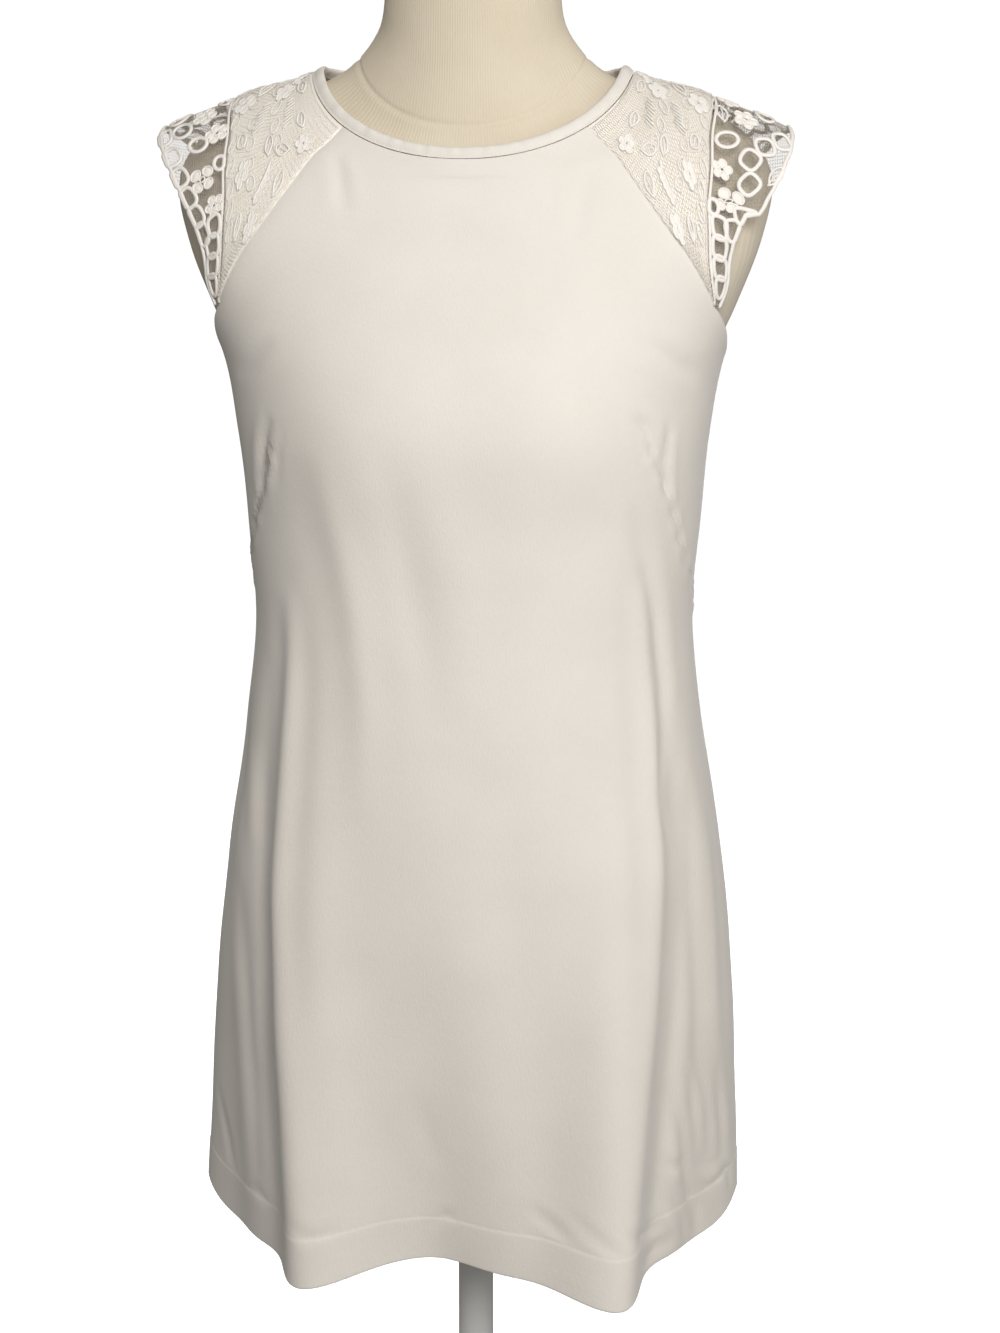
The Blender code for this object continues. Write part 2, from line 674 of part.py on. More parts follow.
def make_slider(material, frame):
    """The slider's flat body on the seam and, over the tab's crossbar, its bridge, as one outline."""
    inner = PLATE_HALF_LENGTH - BRIDGE_FOOT
    outline = (
        (-PLATE_HALF_LENGTH, PLATE_LOW),
        (PLATE_HALF_LENGTH, PLATE_LOW),
        (PLATE_HALF_LENGTH, BRIDGE_UNDERSIDE),
        (inner, BRIDGE_TOP),
        (-inner, BRIDGE_TOP),
        (-PLATE_HALF_LENGTH, BRIDGE_UNDERSIDE),
    )
    builder = bmesh.new()
    bar(builder, outline, BRIDGE_HALF_WIDTH)
    slider = add_object("zip_slider", builder, material)
    window = bmesh.new()
    window_size = (PLATE_WIDTH, 2 * (inner - WINDOW_MARGIN), BRIDGE_UNDERSIDE - PLATE_HIGH)
    bevelled_box(window, (0, 0, (PLATE_HIGH + BRIDGE_UNDERSIDE) / 2), window_size, 0)
    cutter = add_object("zip_slider_window", window, material)
    plate = bmesh.new()
    plate_size = (PLATE_WIDTH, 2 * PLATE_HALF_LENGTH, PLATE_HIGH - PLATE_LOW)
    bevelled_box(plate, (0, 0, (PLATE_LOW + PLATE_HIGH) / 2), plate_size, PLATE_BEVEL)
    joined = add_object("zip_slider_plate", plate, material)
    for operation, other in (("DIFFERENCE", cutter), ("UNION", joined)):
        modifier = slider.modifiers.new(operation.title(), "BOOLEAN")
        modifier.operation = operation
        modifier.object = other
        other.hide_render = True
        other.display_type = "WIRE"
    for obj in (slider, cutter, joined):
        obj.matrix_world = frame


def make_pull_tab(material, frame):
    """A long drop-shaped plate with an eye that the slider's bridge runs through. Its origin is on its axis."""
    outline = TAB_SHAPE + tuple((-x, y) for x, y in reversed(TAB_SHAPE))
    builder = bmesh.new()
    face = builder.faces.new([builder.verts.new((x, y, -TAB_THICKNESS / 2)) for x, y in outline])
    made = bmesh.ops.extrude_face_region(builder, geom=[face])
    raised = [item for item in made["geom"] if isinstance(item, bmesh.types.BMVert)]
    bmesh.ops.translate(builder, vec=(0, 0, TAB_THICKNESS), verts=raised)
    tab = add_object("zip_pull_tab", builder, material)
    eye = bmesh.new()
    eye_start, eye_end = TAB_EYE
    eye_size = (TAB_EYE_WIDTH, eye_end - eye_start, 4 * TAB_THICKNESS)
    bevelled_box(eye, (0, (eye_start + eye_end) / 2, 0), eye_size, 0)
    cutter = add_object("zip_pull_tab_eye", eye, material)
    cutter.hide_render = True
    cutter.display_type = "WIRE"
    modifier = tab.modifiers.new("Eye", "BOOLEAN")
    modifier.operation = "DIFFERENCE"
    modifier.object = cutter
    for obj in (tab, cutter):
        obj.matrix_world = frame


# The dress form and its stand


def form_levels():
    """The rings' own levels, with even steps between them."""
    levels = []
    for low, high in zip(FORM_RINGS, FORM_RINGS[1:]):
        steps = FORM_ROWS_PER_RING if high.level < 1.2 else 1
        levels += [low.level + (high.level - low.level) * step / steps for step in range(steps)]
    return [*levels, FORM_RINGS[-1].level]


def make_torso(material):
    """One smooth body with short arm ends and a neck, flat at the bottom and at the top of the neck."""
    builder = bmesh.new()
    angles = [360 * i / FORM_STEPS for i in range(FORM_STEPS)]
    loops = []
    for level in form_levels():
        loops.append([builder.verts.new(ring_point(FORM_RINGS, angle, level)) for angle in angles])
    for low, high in zip(loops, loops[1:]):
        for i in range(FORM_STEPS):
            j = (i + 1) % FORM_STEPS
            builder.faces.new((low[i], low[j], high[j], high[i]))
    builder.faces.new(loops[0][::-1])
    builder.faces.new(loops[-1])
    add_object("form_torso", builder, material, smooth_angle=60)


def make_neck_cap(material):
    """A thin plate with rounded rims on top of the neck, in the neck's own outline."""
    top = FORM_RINGS[-1]
    bottom_z = top.side_z + SEAM_GAP
    section = (
        (1, bottom_z),
        (1 + CAP_OVERHANG, bottom_z + CAP_RIM),
        (1 + CAP_OVERHANG, bottom_z + CAP_THICKNESS - CAP_RIM),
        (1 - CAP_OVERHANG, bottom_z + CAP_THICKNESS),
    )
    builder = bmesh.new()
    angles = [360 * i / FORM_STEPS for i in range(FORM_STEPS)]
    loops = []
    for share, z in section:
        loop = []
        for angle in angles:
            point = ring_point(FORM_RINGS, angle, top.level) * share
            point.z = z
            loop.append(builder.verts.new(point))
        loops.append(loop)
    for low, high in zip(loops, loops[1:]):
        for i in range(FORM_STEPS):
            j = (i + 1) % FORM_STEPS
            builder.faces.new((low[i], low[j], high[j], high[i]))
    builder.faces.new(loops[0][::-1])
    builder.faces.new(loops[-1])
    add_object("form_neck_cap", builder, material)


def turned(name, profile, steps, material):
    """A solid of revolution about the vertical axis, from a profile of radius and height that runs upwards."""
    builder = bmesh.new()
    loops = []
    for radius, z in profile:
        loop = []
        for i in range(steps):
            turn = 2 * math.pi * i / steps
            loop.append(builder.verts.new((radius * math.cos(turn), radius * math.sin(turn), z)))
        loops.append(loop)
    for low, high in zip(loops, loops[1:]):
        for i in range(steps):
            j = (i + 1) % steps
            builder.faces.new((low[i], low[j], high[j], high[i]))
    builder.faces.new(loops[0][::-1])
    builder.faces.new(loops[-1])
    add_object(name, builder, material)


def make_stand(pole_material, base_material):
    base_profile = (
        (BASE_RADIUS, 0.0),
        (BASE_RADIUS, BASE_THICKNESS - BASE_RIM),
        (BASE_RADIUS - BASE_RIM, BASE_THICKNESS),
    )
    turned("form_base", base_profile, BASE_STEPS, base_material)
    low = BASE_THICKNESS + SEAM_GAP
    high = FORM_BOTTOM - SEAM_GAP
    pole_profile = (
        (FLANGE_RADIUS, low),
        (FLANGE_RADIUS, low + FLANGE_HEIGHT),
        (POLE_RADIUS, low + 2 * FLANGE_HEIGHT),
        (POLE_RADIUS, high - 2 * FLANGE_HEIGHT),
        (FLANGE_RADIUS, high - FLANGE_HEIGHT),
        (FLANGE_RADIUS, high),
    )
    turned("form_pole", pole_profile, POLE_STEPS, pole_material)


def main():
    clear_scene()
    crepe = principled("ivory_crepe", COLOURS["crepe"], 0.80)
    binding = principled("crepe_binding", COLOURS["binding"], 0.80)
    lining = principled("ivory_lining", COLOURS["lining"], 0.70)
    lace = principled("corded_lace", COLOURS["lace"], 0.75)
    tape = principled("zip_tape", COLOURS["tape"], 0.75)
    enamel = principled("enamelled_zinc", COLOURS["enamel"], 0.40, 0.3)
    jersey = principled("cream_jersey", COLOURS["jersey"], 0.85)
    wood = principled("dark_wood", COLOURS["wood"], 0.45)
    steel = principled("painted_steel", COLOURS["steel"], 0.40)
    make_front(crepe)
    make_backs(crepe)
    make_shoulders(lining, lace)
    make_sleeves(lace)
    make_binding(binding)
    make_zip_tapes(tape)
    frame = slider_frame()
    make_slider(enamel, frame)
    make_pull_tab(enamel, frame)
    make_torso(jersey)
    make_neck_cap(wood)
    make_stand(steel, steel)


main()
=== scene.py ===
"""An ivory sheath dress with lace shoulders and lace cap sleeves, on a limbless dress form.

A place on the dress or the form is an angle round the body in degrees (0 at the wearer's left side seam,
-90 at centre front, 90 at centre back) and a level: the height above the floor up to the underarm, and
from there on the length run up the side and over the shoulder. The wearer's left is at +X and the dress
faces -Y. Lengths are in metres.
"""

import math
from collections import namedtuple

import bmesh
import bpy
import numpy as np
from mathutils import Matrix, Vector


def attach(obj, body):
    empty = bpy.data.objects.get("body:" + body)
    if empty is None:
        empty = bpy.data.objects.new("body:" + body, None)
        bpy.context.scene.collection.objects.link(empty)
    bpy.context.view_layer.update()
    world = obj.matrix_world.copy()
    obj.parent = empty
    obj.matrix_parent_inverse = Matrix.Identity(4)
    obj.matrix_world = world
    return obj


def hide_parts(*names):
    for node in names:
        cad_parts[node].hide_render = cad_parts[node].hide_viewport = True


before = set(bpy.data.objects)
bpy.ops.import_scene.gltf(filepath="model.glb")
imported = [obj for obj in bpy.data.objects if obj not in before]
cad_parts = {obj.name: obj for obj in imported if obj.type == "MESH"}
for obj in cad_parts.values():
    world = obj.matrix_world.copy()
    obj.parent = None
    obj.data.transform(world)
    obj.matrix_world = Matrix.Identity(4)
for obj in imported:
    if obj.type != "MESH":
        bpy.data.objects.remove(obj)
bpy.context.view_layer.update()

# -------------------------------------------------------------------------------------------------------
# The dress form. A firm foam torso with short arm ends and a neck, under a tight cover of cream cotton
# jersey. The cover is cut in a body and a neck piece, joined by a seam that rings the base of the neck.

Ring = namedtuple("Ring", "level side_z front_z back_z half_width front back squareness")

# From its flat bottom to the top of its neck. front and back are depths, squareness is 2 for an ellipse.
FORM_RINGS = (
    Ring(0.640, 0.640, 0.640, 0.640, 0.1480, 0.104, 0.112, 2.20),
    Ring(0.720, 0.720, 0.720, 0.720, 0.1640, 0.118, 0.128, 2.20),
    Ring(0.800, 0.800, 0.800, 0.800, 0.1660, 0.118, 0.130, 2.20),
    Ring(0.900, 0.900, 0.900, 0.900, 0.1500, 0.108, 0.110, 2.15),
    Ring(0.985, 0.985, 0.985, 0.985, 0.1340, 0.100, 0.090, 2.10),
    Ring(1.050, 1.050, 1.050, 1.050, 0.1460, 0.112, 0.091, 2.10),
    Ring(1.120, 1.120, 1.120, 1.120, 0.1640, 0.127, 0.101, 2.15),
    Ring(1.175, 1.175, 1.165, 1.175, 0.1775, 0.1205, 0.105, 2.15),
    Ring(1.215, 1.213, 1.194, 1.210, 0.1940, 0.1125, 0.107, 2.15),
    Ring(1.262, 1.262, 1.224, 1.252, 0.2120, 0.1035, 0.106, 2.15),
    Ring(1.305, 1.303, 1.250, 1.292, 0.2180, 0.0945, 0.098, 2.15),
    Ring(1.345, 1.331, 1.272, 1.325, 0.2030, 0.0875, 0.083, 2.15),
    Ring(1.392, 1.356, 1.293, 1.347, 0.1620, 0.0805, 0.066, 2.15),
    Ring(1.445, 1.3705, 1.3090, 1.360, 0.1120, 0.0755, 0.0535, 2.10),
    Ring(1.475, 1.3860, 1.3360, 1.374, 0.0860, 0.0610, 0.0470, 2.05),
    Ring(1.500, 1.4080, 1.3740, 1.401, 0.0690, 0.0550, 0.0450, 2.05),
    Ring(1.530, 1.4360, 1.4200, 1.434, 0.0635, 0.0530, 0.0460, 2.05),
    Ring(1.562, 1.4680, 1.4680, 1.468, 0.0630, 0.0530, 0.0480, 2.05),
)
HEIGHT_SOFTNESS = 0.22
FORM_COLUMNS = 160
FORM_ROW_HEIGHT = 0.0055
FORM_RADIUS = 0.12
RIM_INSET = 0.96
NECK_SEAM_LEVEL = 1.478
NECK_SEAM_DEPTH = 0.0011
NECK_SEAM_WIDTH = 0.0016
NECK_SEAM_LIP = 0.35 * NECK_SEAM_DEPTH
NECK_SEAM_LIP_BELOW = 0.0035
NECK_SEAM_LIP_WIDTH = 0.0025


def smooth_through(knots, values, where):
    """The values at any places along a smooth curve through the values at the knots."""
    slopes = np.gradient(values, knots, axis=0)
    row = np.clip(np.searchsorted(knots, where, side="right") - 1, 0, len(knots) - 2)
    span = knots[row + 1] - knots[row]
    t = (where - knots[row]) / span
    if values.ndim > 1:
        span, t = span[:, None], t[:, None]
    start = (2 * t**3 - 3 * t**2 + 1) * values[row] + (t**3 - 2 * t**2 + t) * span * slopes[row]
    end = (3 * t**2 - 2 * t**3) * values[row + 1] + (t**3 - t**2) * span * slopes[row + 1]
    return start + end


def ring_value(rings, column, level):
    """A column of a ring table at any levels."""
    knots = np.array([ring.level for ring in rings])
    values = np.array([getattr(ring, column) for ring in rings])
    return smooth_through(knots, values, np.clip(level, knots[0], knots[-1]))


def ring_points(rings, angle, level, out=0.0, rise=0.0):
    """The points at these angles and levels, moved out from the axis and up."""
    turn = np.radians(angle)
    level = np.asarray(level, float)
    facing_front = np.sin(turn) < 0
    depth = np.where(facing_front, ring_value(rings, "front", level), ring_value(rings, "back", level))
    end_z = np.where(facing_front, ring_value(rings, "front_z", level), ring_value(rings, "back_z", level))
    side_z = ring_value(rings, "side_z", level)
    power = ring_value(rings, "squareness", level)
    across = np.abs(np.cos(turn)) / ring_value(rings, "half_width", level)
    along = np.abs(np.sin(turn)) / depth
    radius = (across**power + along**power) ** (-1 / power)
    fall = np.hypot(radius * along, HEIGHT_SOFTNESS) - HEIGHT_SOFTNESS
    fall /= math.hypot(1, HEIGHT_SOFTNESS) - HEIGHT_SOFTNESS
    radius = radius + out
    z = side_z + (end_z - side_z) * fall + rise
    return np.stack([radius * np.cos(turn), radius * np.sin(turn), z], axis=-1)


def bell(distance, width):
    """1 where the distance is 0, falling softly to nothing at about twice the width."""
    return np.exp(-((distance / width) ** 2))


def grid_quads(rows, columns, closed=False):
    """The squares of a grid of points counted row by row. A closed grid's last column joins its first."""
    quads = []
    for low in range(0, (rows - 1) * columns, columns):
        high = low + columns
        for column in range(columns if closed else columns - 1):
            after = (column + 1) % columns
            quads.append((low + column, low + after, high + after, high + column))
    return quads


def add_mesh(name, points, faces, material, places=None, crease_angle=180, outward=True):
    """A smooth object from points and faces. places are flat coordinates in metres, kept as its UV map."""
    mesh = bpy.data.meshes.new(name)
    mesh.from_pydata(np.asarray(points, float).tolist(), [], faces)
    if places is not None:
        corners = np.empty(len(mesh.loops), dtype=np.int32)
        mesh.loops.foreach_get("vertex_index", corners)
        layer = mesh.uv_layers.new(name="cloth")
        layer.data.foreach_set("uv", np.asarray(places, float)[corners].ravel())
    mesh.validate()
    mesh.shade_smooth()
    if crease_angle < 180:
        mesh.set_sharp_from_angle(angle=math.radians(crease_angle))
    if outward:
        builder = bmesh.new()
        builder.from_mesh(mesh)
        bmesh.ops.recalc_face_normals(builder, faces=builder.faces)
        builder.to_mesh(mesh)
        builder.free()
    made = bpy.data.objects.new(name, mesh)
    made.data.materials.append(material)
    bpy.context.scene.collection.objects.link(made)
    return made


def linear(hex_colour):
    """An sRGB hex colour as linear red, green, blue and alpha."""
    channels = [int(hex_colour[i : i + 2], 16) / 255 for i in (1, 3, 5)]
    return [c / 12.92 if c <= 0.04045 else ((c + 0.055) / 1.055) ** 2.4 for c in channels] + [1.0]


def node(material, kind, inputs, **settings):
    """Adds a shader node, makes its settings, and fills or links its inputs."""
    made = material.node_tree.nodes.new(kind)
    for name, value in settings.items():
        setattr(made, name, value)
    for socket, value in inputs.items():
        if isinstance(value, bpy.types.NodeSocket):
            material.node_tree.links.new(value, made.inputs[socket])
        else:
            made.inputs[socket].default_value = value
    return made


def finish_of(name, **sockets):
    """A new material, its shader and its Object coordinates. Sockets are named in lower case."""
    material = bpy.data.materials.new(name)
    material.use_nodes = True
    shader = material.node_tree.nodes["Principled BSDF"]
    for socket, value in sockets.items():
        shader.inputs[socket.replace("_", " ").title().replace("Ior", "IOR")].default_value = value
    return material, shader, node(material, "ShaderNodeTexCoord", {}).outputs["Object"]


def per_metre(millimetres):
    """A texture's scale for a pattern that repeats about every so many millimetres."""
    return 1000 / millimetres


def mottled(material, shader, places, low, high, spot_mm, detail=3.0):
    """Colours a finish between two hex colours in soft spots."""
    scale = per_metre(spot_mm)
    spots = node(material, "ShaderNodeTexNoise", {"Vector": places, "Scale": scale, "Detail": detail})
    colours = {"Factor": spots.outputs["Fac"], "A": linear(low), "B": linear(high)}
    mix = node(material, "ShaderNodeMix", colours, data_type="RGBA")
    material.node_tree.links.new(mix.outputs["Result"], shader.inputs["Base Color"])
    return mix


# A wave texture's scale is divided by this. Each ridge and each trough is then about as wide as the size
# given.
RIDGE_FACTOR = 6.28

# Cotton jersey: matt, warm cream, with fine upright wales. The real wales are 1 mm apart and would not
# show, so they are drawn about 4 mm apart. Age has left it faintly blotched.
jersey, shader, places = finish_of(
    "cotton_jersey", roughness=0.88, sheen_weight=0.15, sheen_roughness=0.5, specular_ior_level=0.3
)
mottled(jersey, shader, places, "#CFC1A8", "#E2D7C2", 60)
cover_uv = node(jersey, "ShaderNodeUVMap", {}, uv_map="cloth").outputs["UV"]
wale_scale = per_metre(2.0) / RIDGE_FACTOR
upright_lines = {"Vector": cover_uv, "Scale": wale_scale, "Distortion": 0.6, "Detail": 1.0}
wales = node(jersey, "ShaderNodeTexWave", upright_lines, bands_direction="X")
fibres = node(jersey, "ShaderNodeTexNoise", {"Vector": places, "Scale": per_metre(0.8), "Detail": 2.0})
raised = {"Height": wales.outputs["Fac"], "Distance": 0.00025, "Strength": 0.5}
wale_bump = node(jersey, "ShaderNodeBump", raised)
raised = {"Height": fibres.outputs["Fac"], "Distance": 0.0002, "Strength": 0.5}
raised["Normal"] = wale_bump.outputs["Normal"]
bump = node(jersey, "ShaderNodeBump", raised)
jersey.node_tree.links.new(bump.outputs["Normal"], shader.inputs["Normal"])

seam_rows = NECK_SEAM_LEVEL + np.linspace(-2.5, 2.5, 11) * NECK_SEAM_WIDTH
form_levels = np.arange(FORM_RINGS[0].level, FORM_RINGS[-1].level, FORM_ROW_HEIGHT)
form_levels = form_levels[np.abs(form_levels - NECK_SEAM_LEVEL) > 3 * NECK_SEAM_WIDTH]
form_levels = np.sort(np.concatenate([form_levels, seam_rows, [FORM_RINGS[-1].level]]))
angle, level = np.meshgrid(np.linspace(0, 360, FORM_COLUMNS, endpoint=False), form_levels)
above_seam = level - NECK_SEAM_LEVEL
groove = -NECK_SEAM_DEPTH * bell(above_seam, NECK_SEAM_WIDTH)
lip = NECK_SEAM_LIP * bell(above_seam + NECK_SEAM_LIP_BELOW, NECK_SEAM_LIP_WIDTH)
cover_points = ring_points(FORM_RINGS, angle, level, groove + lip).reshape(-1, 3)
bottom_rim = cover_points[:FORM_COLUMNS]
top_rim = cover_points[-FORM_COLUMNS:]
inset = (RIM_INSET, RIM_INSET, 1)
middles = [bottom_rim.mean(0), top_rim.mean(0)]
cover_points = np.concatenate([cover_points, bottom_rim * inset, top_rim * inset, middles])

# The flat ends are closed by a narrow rim and a fan round a middle point each.
faces = grid_quads(len(form_levels), FORM_COLUMNS, closed=True)
low = len(form_levels) * FORM_COLUMNS
high = low + FORM_COLUMNS
last = low - FORM_COLUMNS
middle = high + FORM_COLUMNS
for i in range(FORM_COLUMNS):
    j = (i + 1) % FORM_COLUMNS
    faces += [(j, i, low + i, low + j), (low + j, low + i, middle)]
    faces += [(last + i, last + j, high + j, high + i), (high + i, high + j, middle + 1)]
cover_map = np.stack([np.radians(angle) * FORM_RADIUS, level], axis=-1).reshape(-1, 2)
cover_map = np.concatenate([cover_map, np.zeros((len(cover_points) - len(cover_map), 2))])
form_cover = add_mesh("form_jersey_cover", cover_points, faces, jersey, cover_map, crease_angle=50)
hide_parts("form_torso")
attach(form_cover, "root")

# -------------------------------------------------------------------------------------------------------
# The neck cap: a plate of dark varnished hardwood that closes the top of the neck. It is cut to the neck's
# outline, a little wider, and rounded at both rims.

JOIN_GAP = 0.0003
CAP_BOTTOM = FORM_RINGS[-1].side_z + JOIN_GAP
CAP_THICKNESS = 0.010
CAP_OVERHANG = 1.03
CAP_RIM = 0.0022
CAP_STEPS = 96


def begin_solid(name, steps, radius, z):
    """A filled disc to build a piece up from, in edit mode with its face selected."""
    bpy.ops.object.select_all(action="DESELECT")
    bpy.ops.mesh.primitive_circle_add(vertices=steps, radius=radius, fill_type="NGON", location=(0, 0, z))
    made = bpy.context.object
    made.name = name
    made.data.name = name
    bpy.ops.object.transform_apply(location=True, rotation=True, scale=True)
    bpy.ops.object.mode_set(mode="EDIT")
    bpy.ops.mesh.select_all(action="SELECT")
    return made


def raise_face(height, spread=1.0):
    """Extrudes the selected face upwards and then widens or narrows it."""
    bpy.ops.mesh.extrude_region_move(TRANSFORM_OT_translate={"value": (0, 0, height)})
    if spread != 1.0:
        bpy.ops.transform.resize(value=(spread, spread, 1))


def rounded(made, width, segments, angle):
    """Rounds the edges of a solid that turn by more than an angle, and shades it smooth."""
    rounding = made.modifiers.new("rims", "BEVEL")
    rounding.width = width
    rounding.segments = segments
    rounding.limit_method = "ANGLE"
    rounding.angle_limit = math.radians(angle)
    bpy.ops.object.modifier_apply(modifier=rounding.name)
    bpy.ops.object.shade_smooth_by_angle(angle=math.radians(30))


def end_solid(made, material, rim):
    """Leaves edit mode with all faces outward, rounds the rims and gives the piece its material."""
    bpy.ops.mesh.select_all(action="SELECT")
    bpy.ops.mesh.normals_make_consistent(inside=False)
    bpy.ops.object.mode_set(mode="OBJECT")
    rounded(made, rim, 3, 40)
    made.data.materials.clear()
    made.data.materials.append(material)
    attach(made, "root")


# Varnished hardwood: dark brown with fine straight grain, a satin coat that catches soft light.
wood, shader, places = finish_of("varnished_hardwood", roughness=0.38, coat_weight=0.3, coat_roughness=0.2)
drawn_out = node(wood, "ShaderNodeMapping", {"Vector": places, "Scale": (1.0, 9.0, 9.0)})
along_grain = drawn_out.outputs["Vector"]
mottled(wood, shader, along_grain, "#3A2416", "#6B452A", 16, detail=6.0)
grain = node(wood, "ShaderNodeTexNoise", {"Vector": along_grain, "Scale": per_metre(4), "Detail": 5.0})
raised = {"Height": grain.outputs["Fac"], "Distance": 0.00015, "Strength": 0.4}
bump = node(wood, "ShaderNodeBump", raised)
wood.node_tree.links.new(bump.outputs["Normal"], shader.inputs["Normal"])

# A round plate one metre in radius, drawn in to the neck's outline and then rounded.
neck_cap = begin_solid("form_neck_plate", CAP_STEPS, 1.0, CAP_BOTTOM)
raise_face(CAP_THICKNESS)
end_solid(neck_cap, wood, CAP_RIM / 100)
top = FORM_RINGS[-1]
power = top.squareness
for vertex in neck_cap.data.vertices:
    x, y, z = vertex.co
    depth = top.front if y < 0 else top.back
    reach = math.hypot(x, y) or 1.0
    share = abs(x / reach) ** power / top.half_width**power + abs(y / reach) ** power / depth**power
    radius = share ** (-1 / power) * CAP_OVERHANG
    vertex.co = (x * radius, y * radius, z)
rounded(neck_cap, CAP_RIM, 4, 50)
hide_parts("form_neck_cap")

# -------------------------------------------------------------------------------------------------------
# The stand: a steel tube with a flange welded to each end, screwed to the form's underside and to a
# heavy round steel base plate. Both are powder coated white.

POLE_RADIUS = 0.014
FLANGE_RADIUS = 0.032
FLANGE_HEIGHT = 0.010
BASE_RADIUS = 0.200
BASE_THICKNESS = 0.008
BASE_RIM = 0.0018
FLANGE_RIM = 0.0012
FORM_BOTTOM = FORM_RINGS[0].level

# Powder coat: satin white over steel, with a fine orange peel, and a little duller where it was handled.
coat, shader, places = finish_of("white_powder_coat", coat_weight=0.15, coat_roughness=0.3)
mottled(coat, shader, places, "#D9D9D6", "#EDEDEA", 50)
peel = node(coat, "ShaderNodeTexNoise", {"Vector": places, "Scale": per_metre(2.0), "Detail": 2.0})
handled = node(coat, "ShaderNodeTexNoise", {"Vector": places, "Scale": per_metre(35), "Detail": 3.0})
dulled = node(coat, "ShaderNodeMapRange", {"Value": handled.outputs["Fac"], "To Min": 0.36, "To Max": 0.50})
coat.node_tree.links.new(dulled.outputs["Result"], shader.inputs["Roughness"])
raised = {"Height": peel.outputs["Fac"], "Distance": 0.00008, "Strength": 0.5}
bump = node(coat, "ShaderNodeBump", raised)
coat.node_tree.links.new(bump.outputs["Normal"], shader.inputs["Normal"])

base_plate = begin_solid("stand_base_plate", 128, BASE_RADIUS, 0.0)
raise_face(BASE_THICKNESS)
end_solid(base_plate, coat, BASE_RIM)
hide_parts("form_base")

pole = begin_solid("stand_pole", 64, FLANGE_RADIUS, BASE_THICKNESS + JOIN_GAP)
tube_length = FORM_BOTTOM - BASE_THICKNESS - 2 * JOIN_GAP
raise_face(FLANGE_HEIGHT)
raise_face(FLANGE_HEIGHT, POLE_RADIUS / FLANGE_RADIUS)
raise_face(tube_length - 4 * FLANGE_HEIGHT)
raise_face(FLANGE_HEIGHT, FLANGE_RADIUS / POLE_RADIUS)
raise_face(FLANGE_HEIGHT)
end_solid(pole, coat, FLANGE_RIM)
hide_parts("form_pole")

# -------------------------------------------------------------------------------------------------------
# The front of the dress: one piece of ivory crepe from side seam to side seam, shaped by two long darts
# that climb from the waist to the bust, with a deep turned-up hem. It hangs free below the bust, in a
# few soft upright folds.

DRESS_RINGS = (
    Ring(0.505, 0.505, 0.505, 0.505, 0.2090, 0.164, 0.160, 1.95),
    Ring(0.600, 0.600, 0.600, 0.600, 0.2060, 0.160, 0.156, 2.05),
    Ring(0.700, 0.700, 0.700, 0.700, 0.2010, 0.156, 0.150, 2.15),
    Ring(0.800, 0.800, 0.800, 0.800, 0.1900, 0.150, 0.144, 2.25),
    Ring(0.900, 0.900, 0.900, 0.900, 0.1740, 0.141, 0.129, 2.25),
    Ring(0.985, 0.985, 0.985, 0.985, 0.1655, 0.134, 0.112, 2.25),
    Ring(1.050, 1.050, 1.050, 1.050, 0.1700, 0.133, 0.107, 2.20),
    Ring(1.120, 1.120, 1.120, 1.120, 0.1765, 0.134, 0.110, 2.20),
    Ring(1.175, 1.175, 1.165, 1.175, 0.1860, 0.128, 0.114, 2.20),
    Ring(1.215, 1.215, 1.195, 1.212, 0.2010, 0.120, 0.116, 2.20),
    Ring(1.262, 1.262, 1.225, 1.255, 0.2185, 0.111, 0.115, 2.20),
    Ring(1.305, 1.305, 1.252, 1.298, 0.2250, 0.102, 0.107, 2.20),
    Ring(1.345, 1.338, 1.277, 1.333, 0.2110, 0.095, 0.092, 2.20),
    Ring(1.392, 1.363, 1.300, 1.356, 0.1700, 0.088, 0.074, 2.20),
    Ring(1.450, 1.379, 1.3175, 1.370, 0.1170, 0.082, 0.060, 2.10),
    Ring(1.459, 1.3835, 1.3260, 1.377, 0.1090, 0.078, 0.056, 2.10),
)
HEM = 0.505
UNDERARM = 1.178
NECK_LINE = 1.4495
NECK_EDGE = 1.459
HEM_TURNUP = 0.0365
HEM_THICKNESS = 0.0028
CREPE_THICKNESS = 0.0012

# Half of the narrow flat that is left between the two rounded edges of the hem's fold.
FOLD_FLAT = 0.00004

# About what a degree round the body measures, on the skirt and on the panels above the underarm.
METRES_PER_DEGREE = 0.0032
PANEL_METRES_PER_DEGREE = 0.0035

# Each fold runs from the hem up to its top, moving the cloth out by its depth at the hem, and lifts the
# hem there.
Fold = namedtuple("Fold", "angle top_angle top depth width hem_rise")
FOLDS = (
    Fold(-124.5, -136, 1.02, 0.031, 9.5, -0.009),
    Fold(-96, -100, 0.86, -0.024, 19, 0.008),
    Fold(-54.5, -41, 0.98, 0.040, 9.5, -0.012),
    Fold(-158, -160, 0.95, -0.007, 9, 0.0),
    Fold(-22, -24, 0.95, -0.008, 9, 0.0),
    Fold(28, 30, 0.94, -0.008, 11, 0.0),
    Fold(56, 48, 0.96, 0.012, 12, -0.002),
    Fold(84, 86, 0.84, -0.016, 13, 0.005),
    Fold(112, 116, 0.90, 0.010, 11, -0.002),
    Fold(146, 148, 0.93, -0.009, 12, 0.002),
    Fold(-176, -178, 0.80, 0.007, 9, 0.014),
    Fold(-3, -2, 0.80, 0.0, 10, 0.016),
)

# Room that the darts and the back give: a soft swelling round a place.
Fullness = namedtuple("Fullness", "angle level depth height width")
FULLNESS = (
    Fullness(-60, 1.125, 0.0070, 0.060, 22),
    Fullness(-120, 1.125, 0.0070, 0.060, 22),
    Fullness(58, 1.215, 0.0030, 0.060, 22),
    Fullness(122, 1.215, 0.0030, 0.060, 22),
)

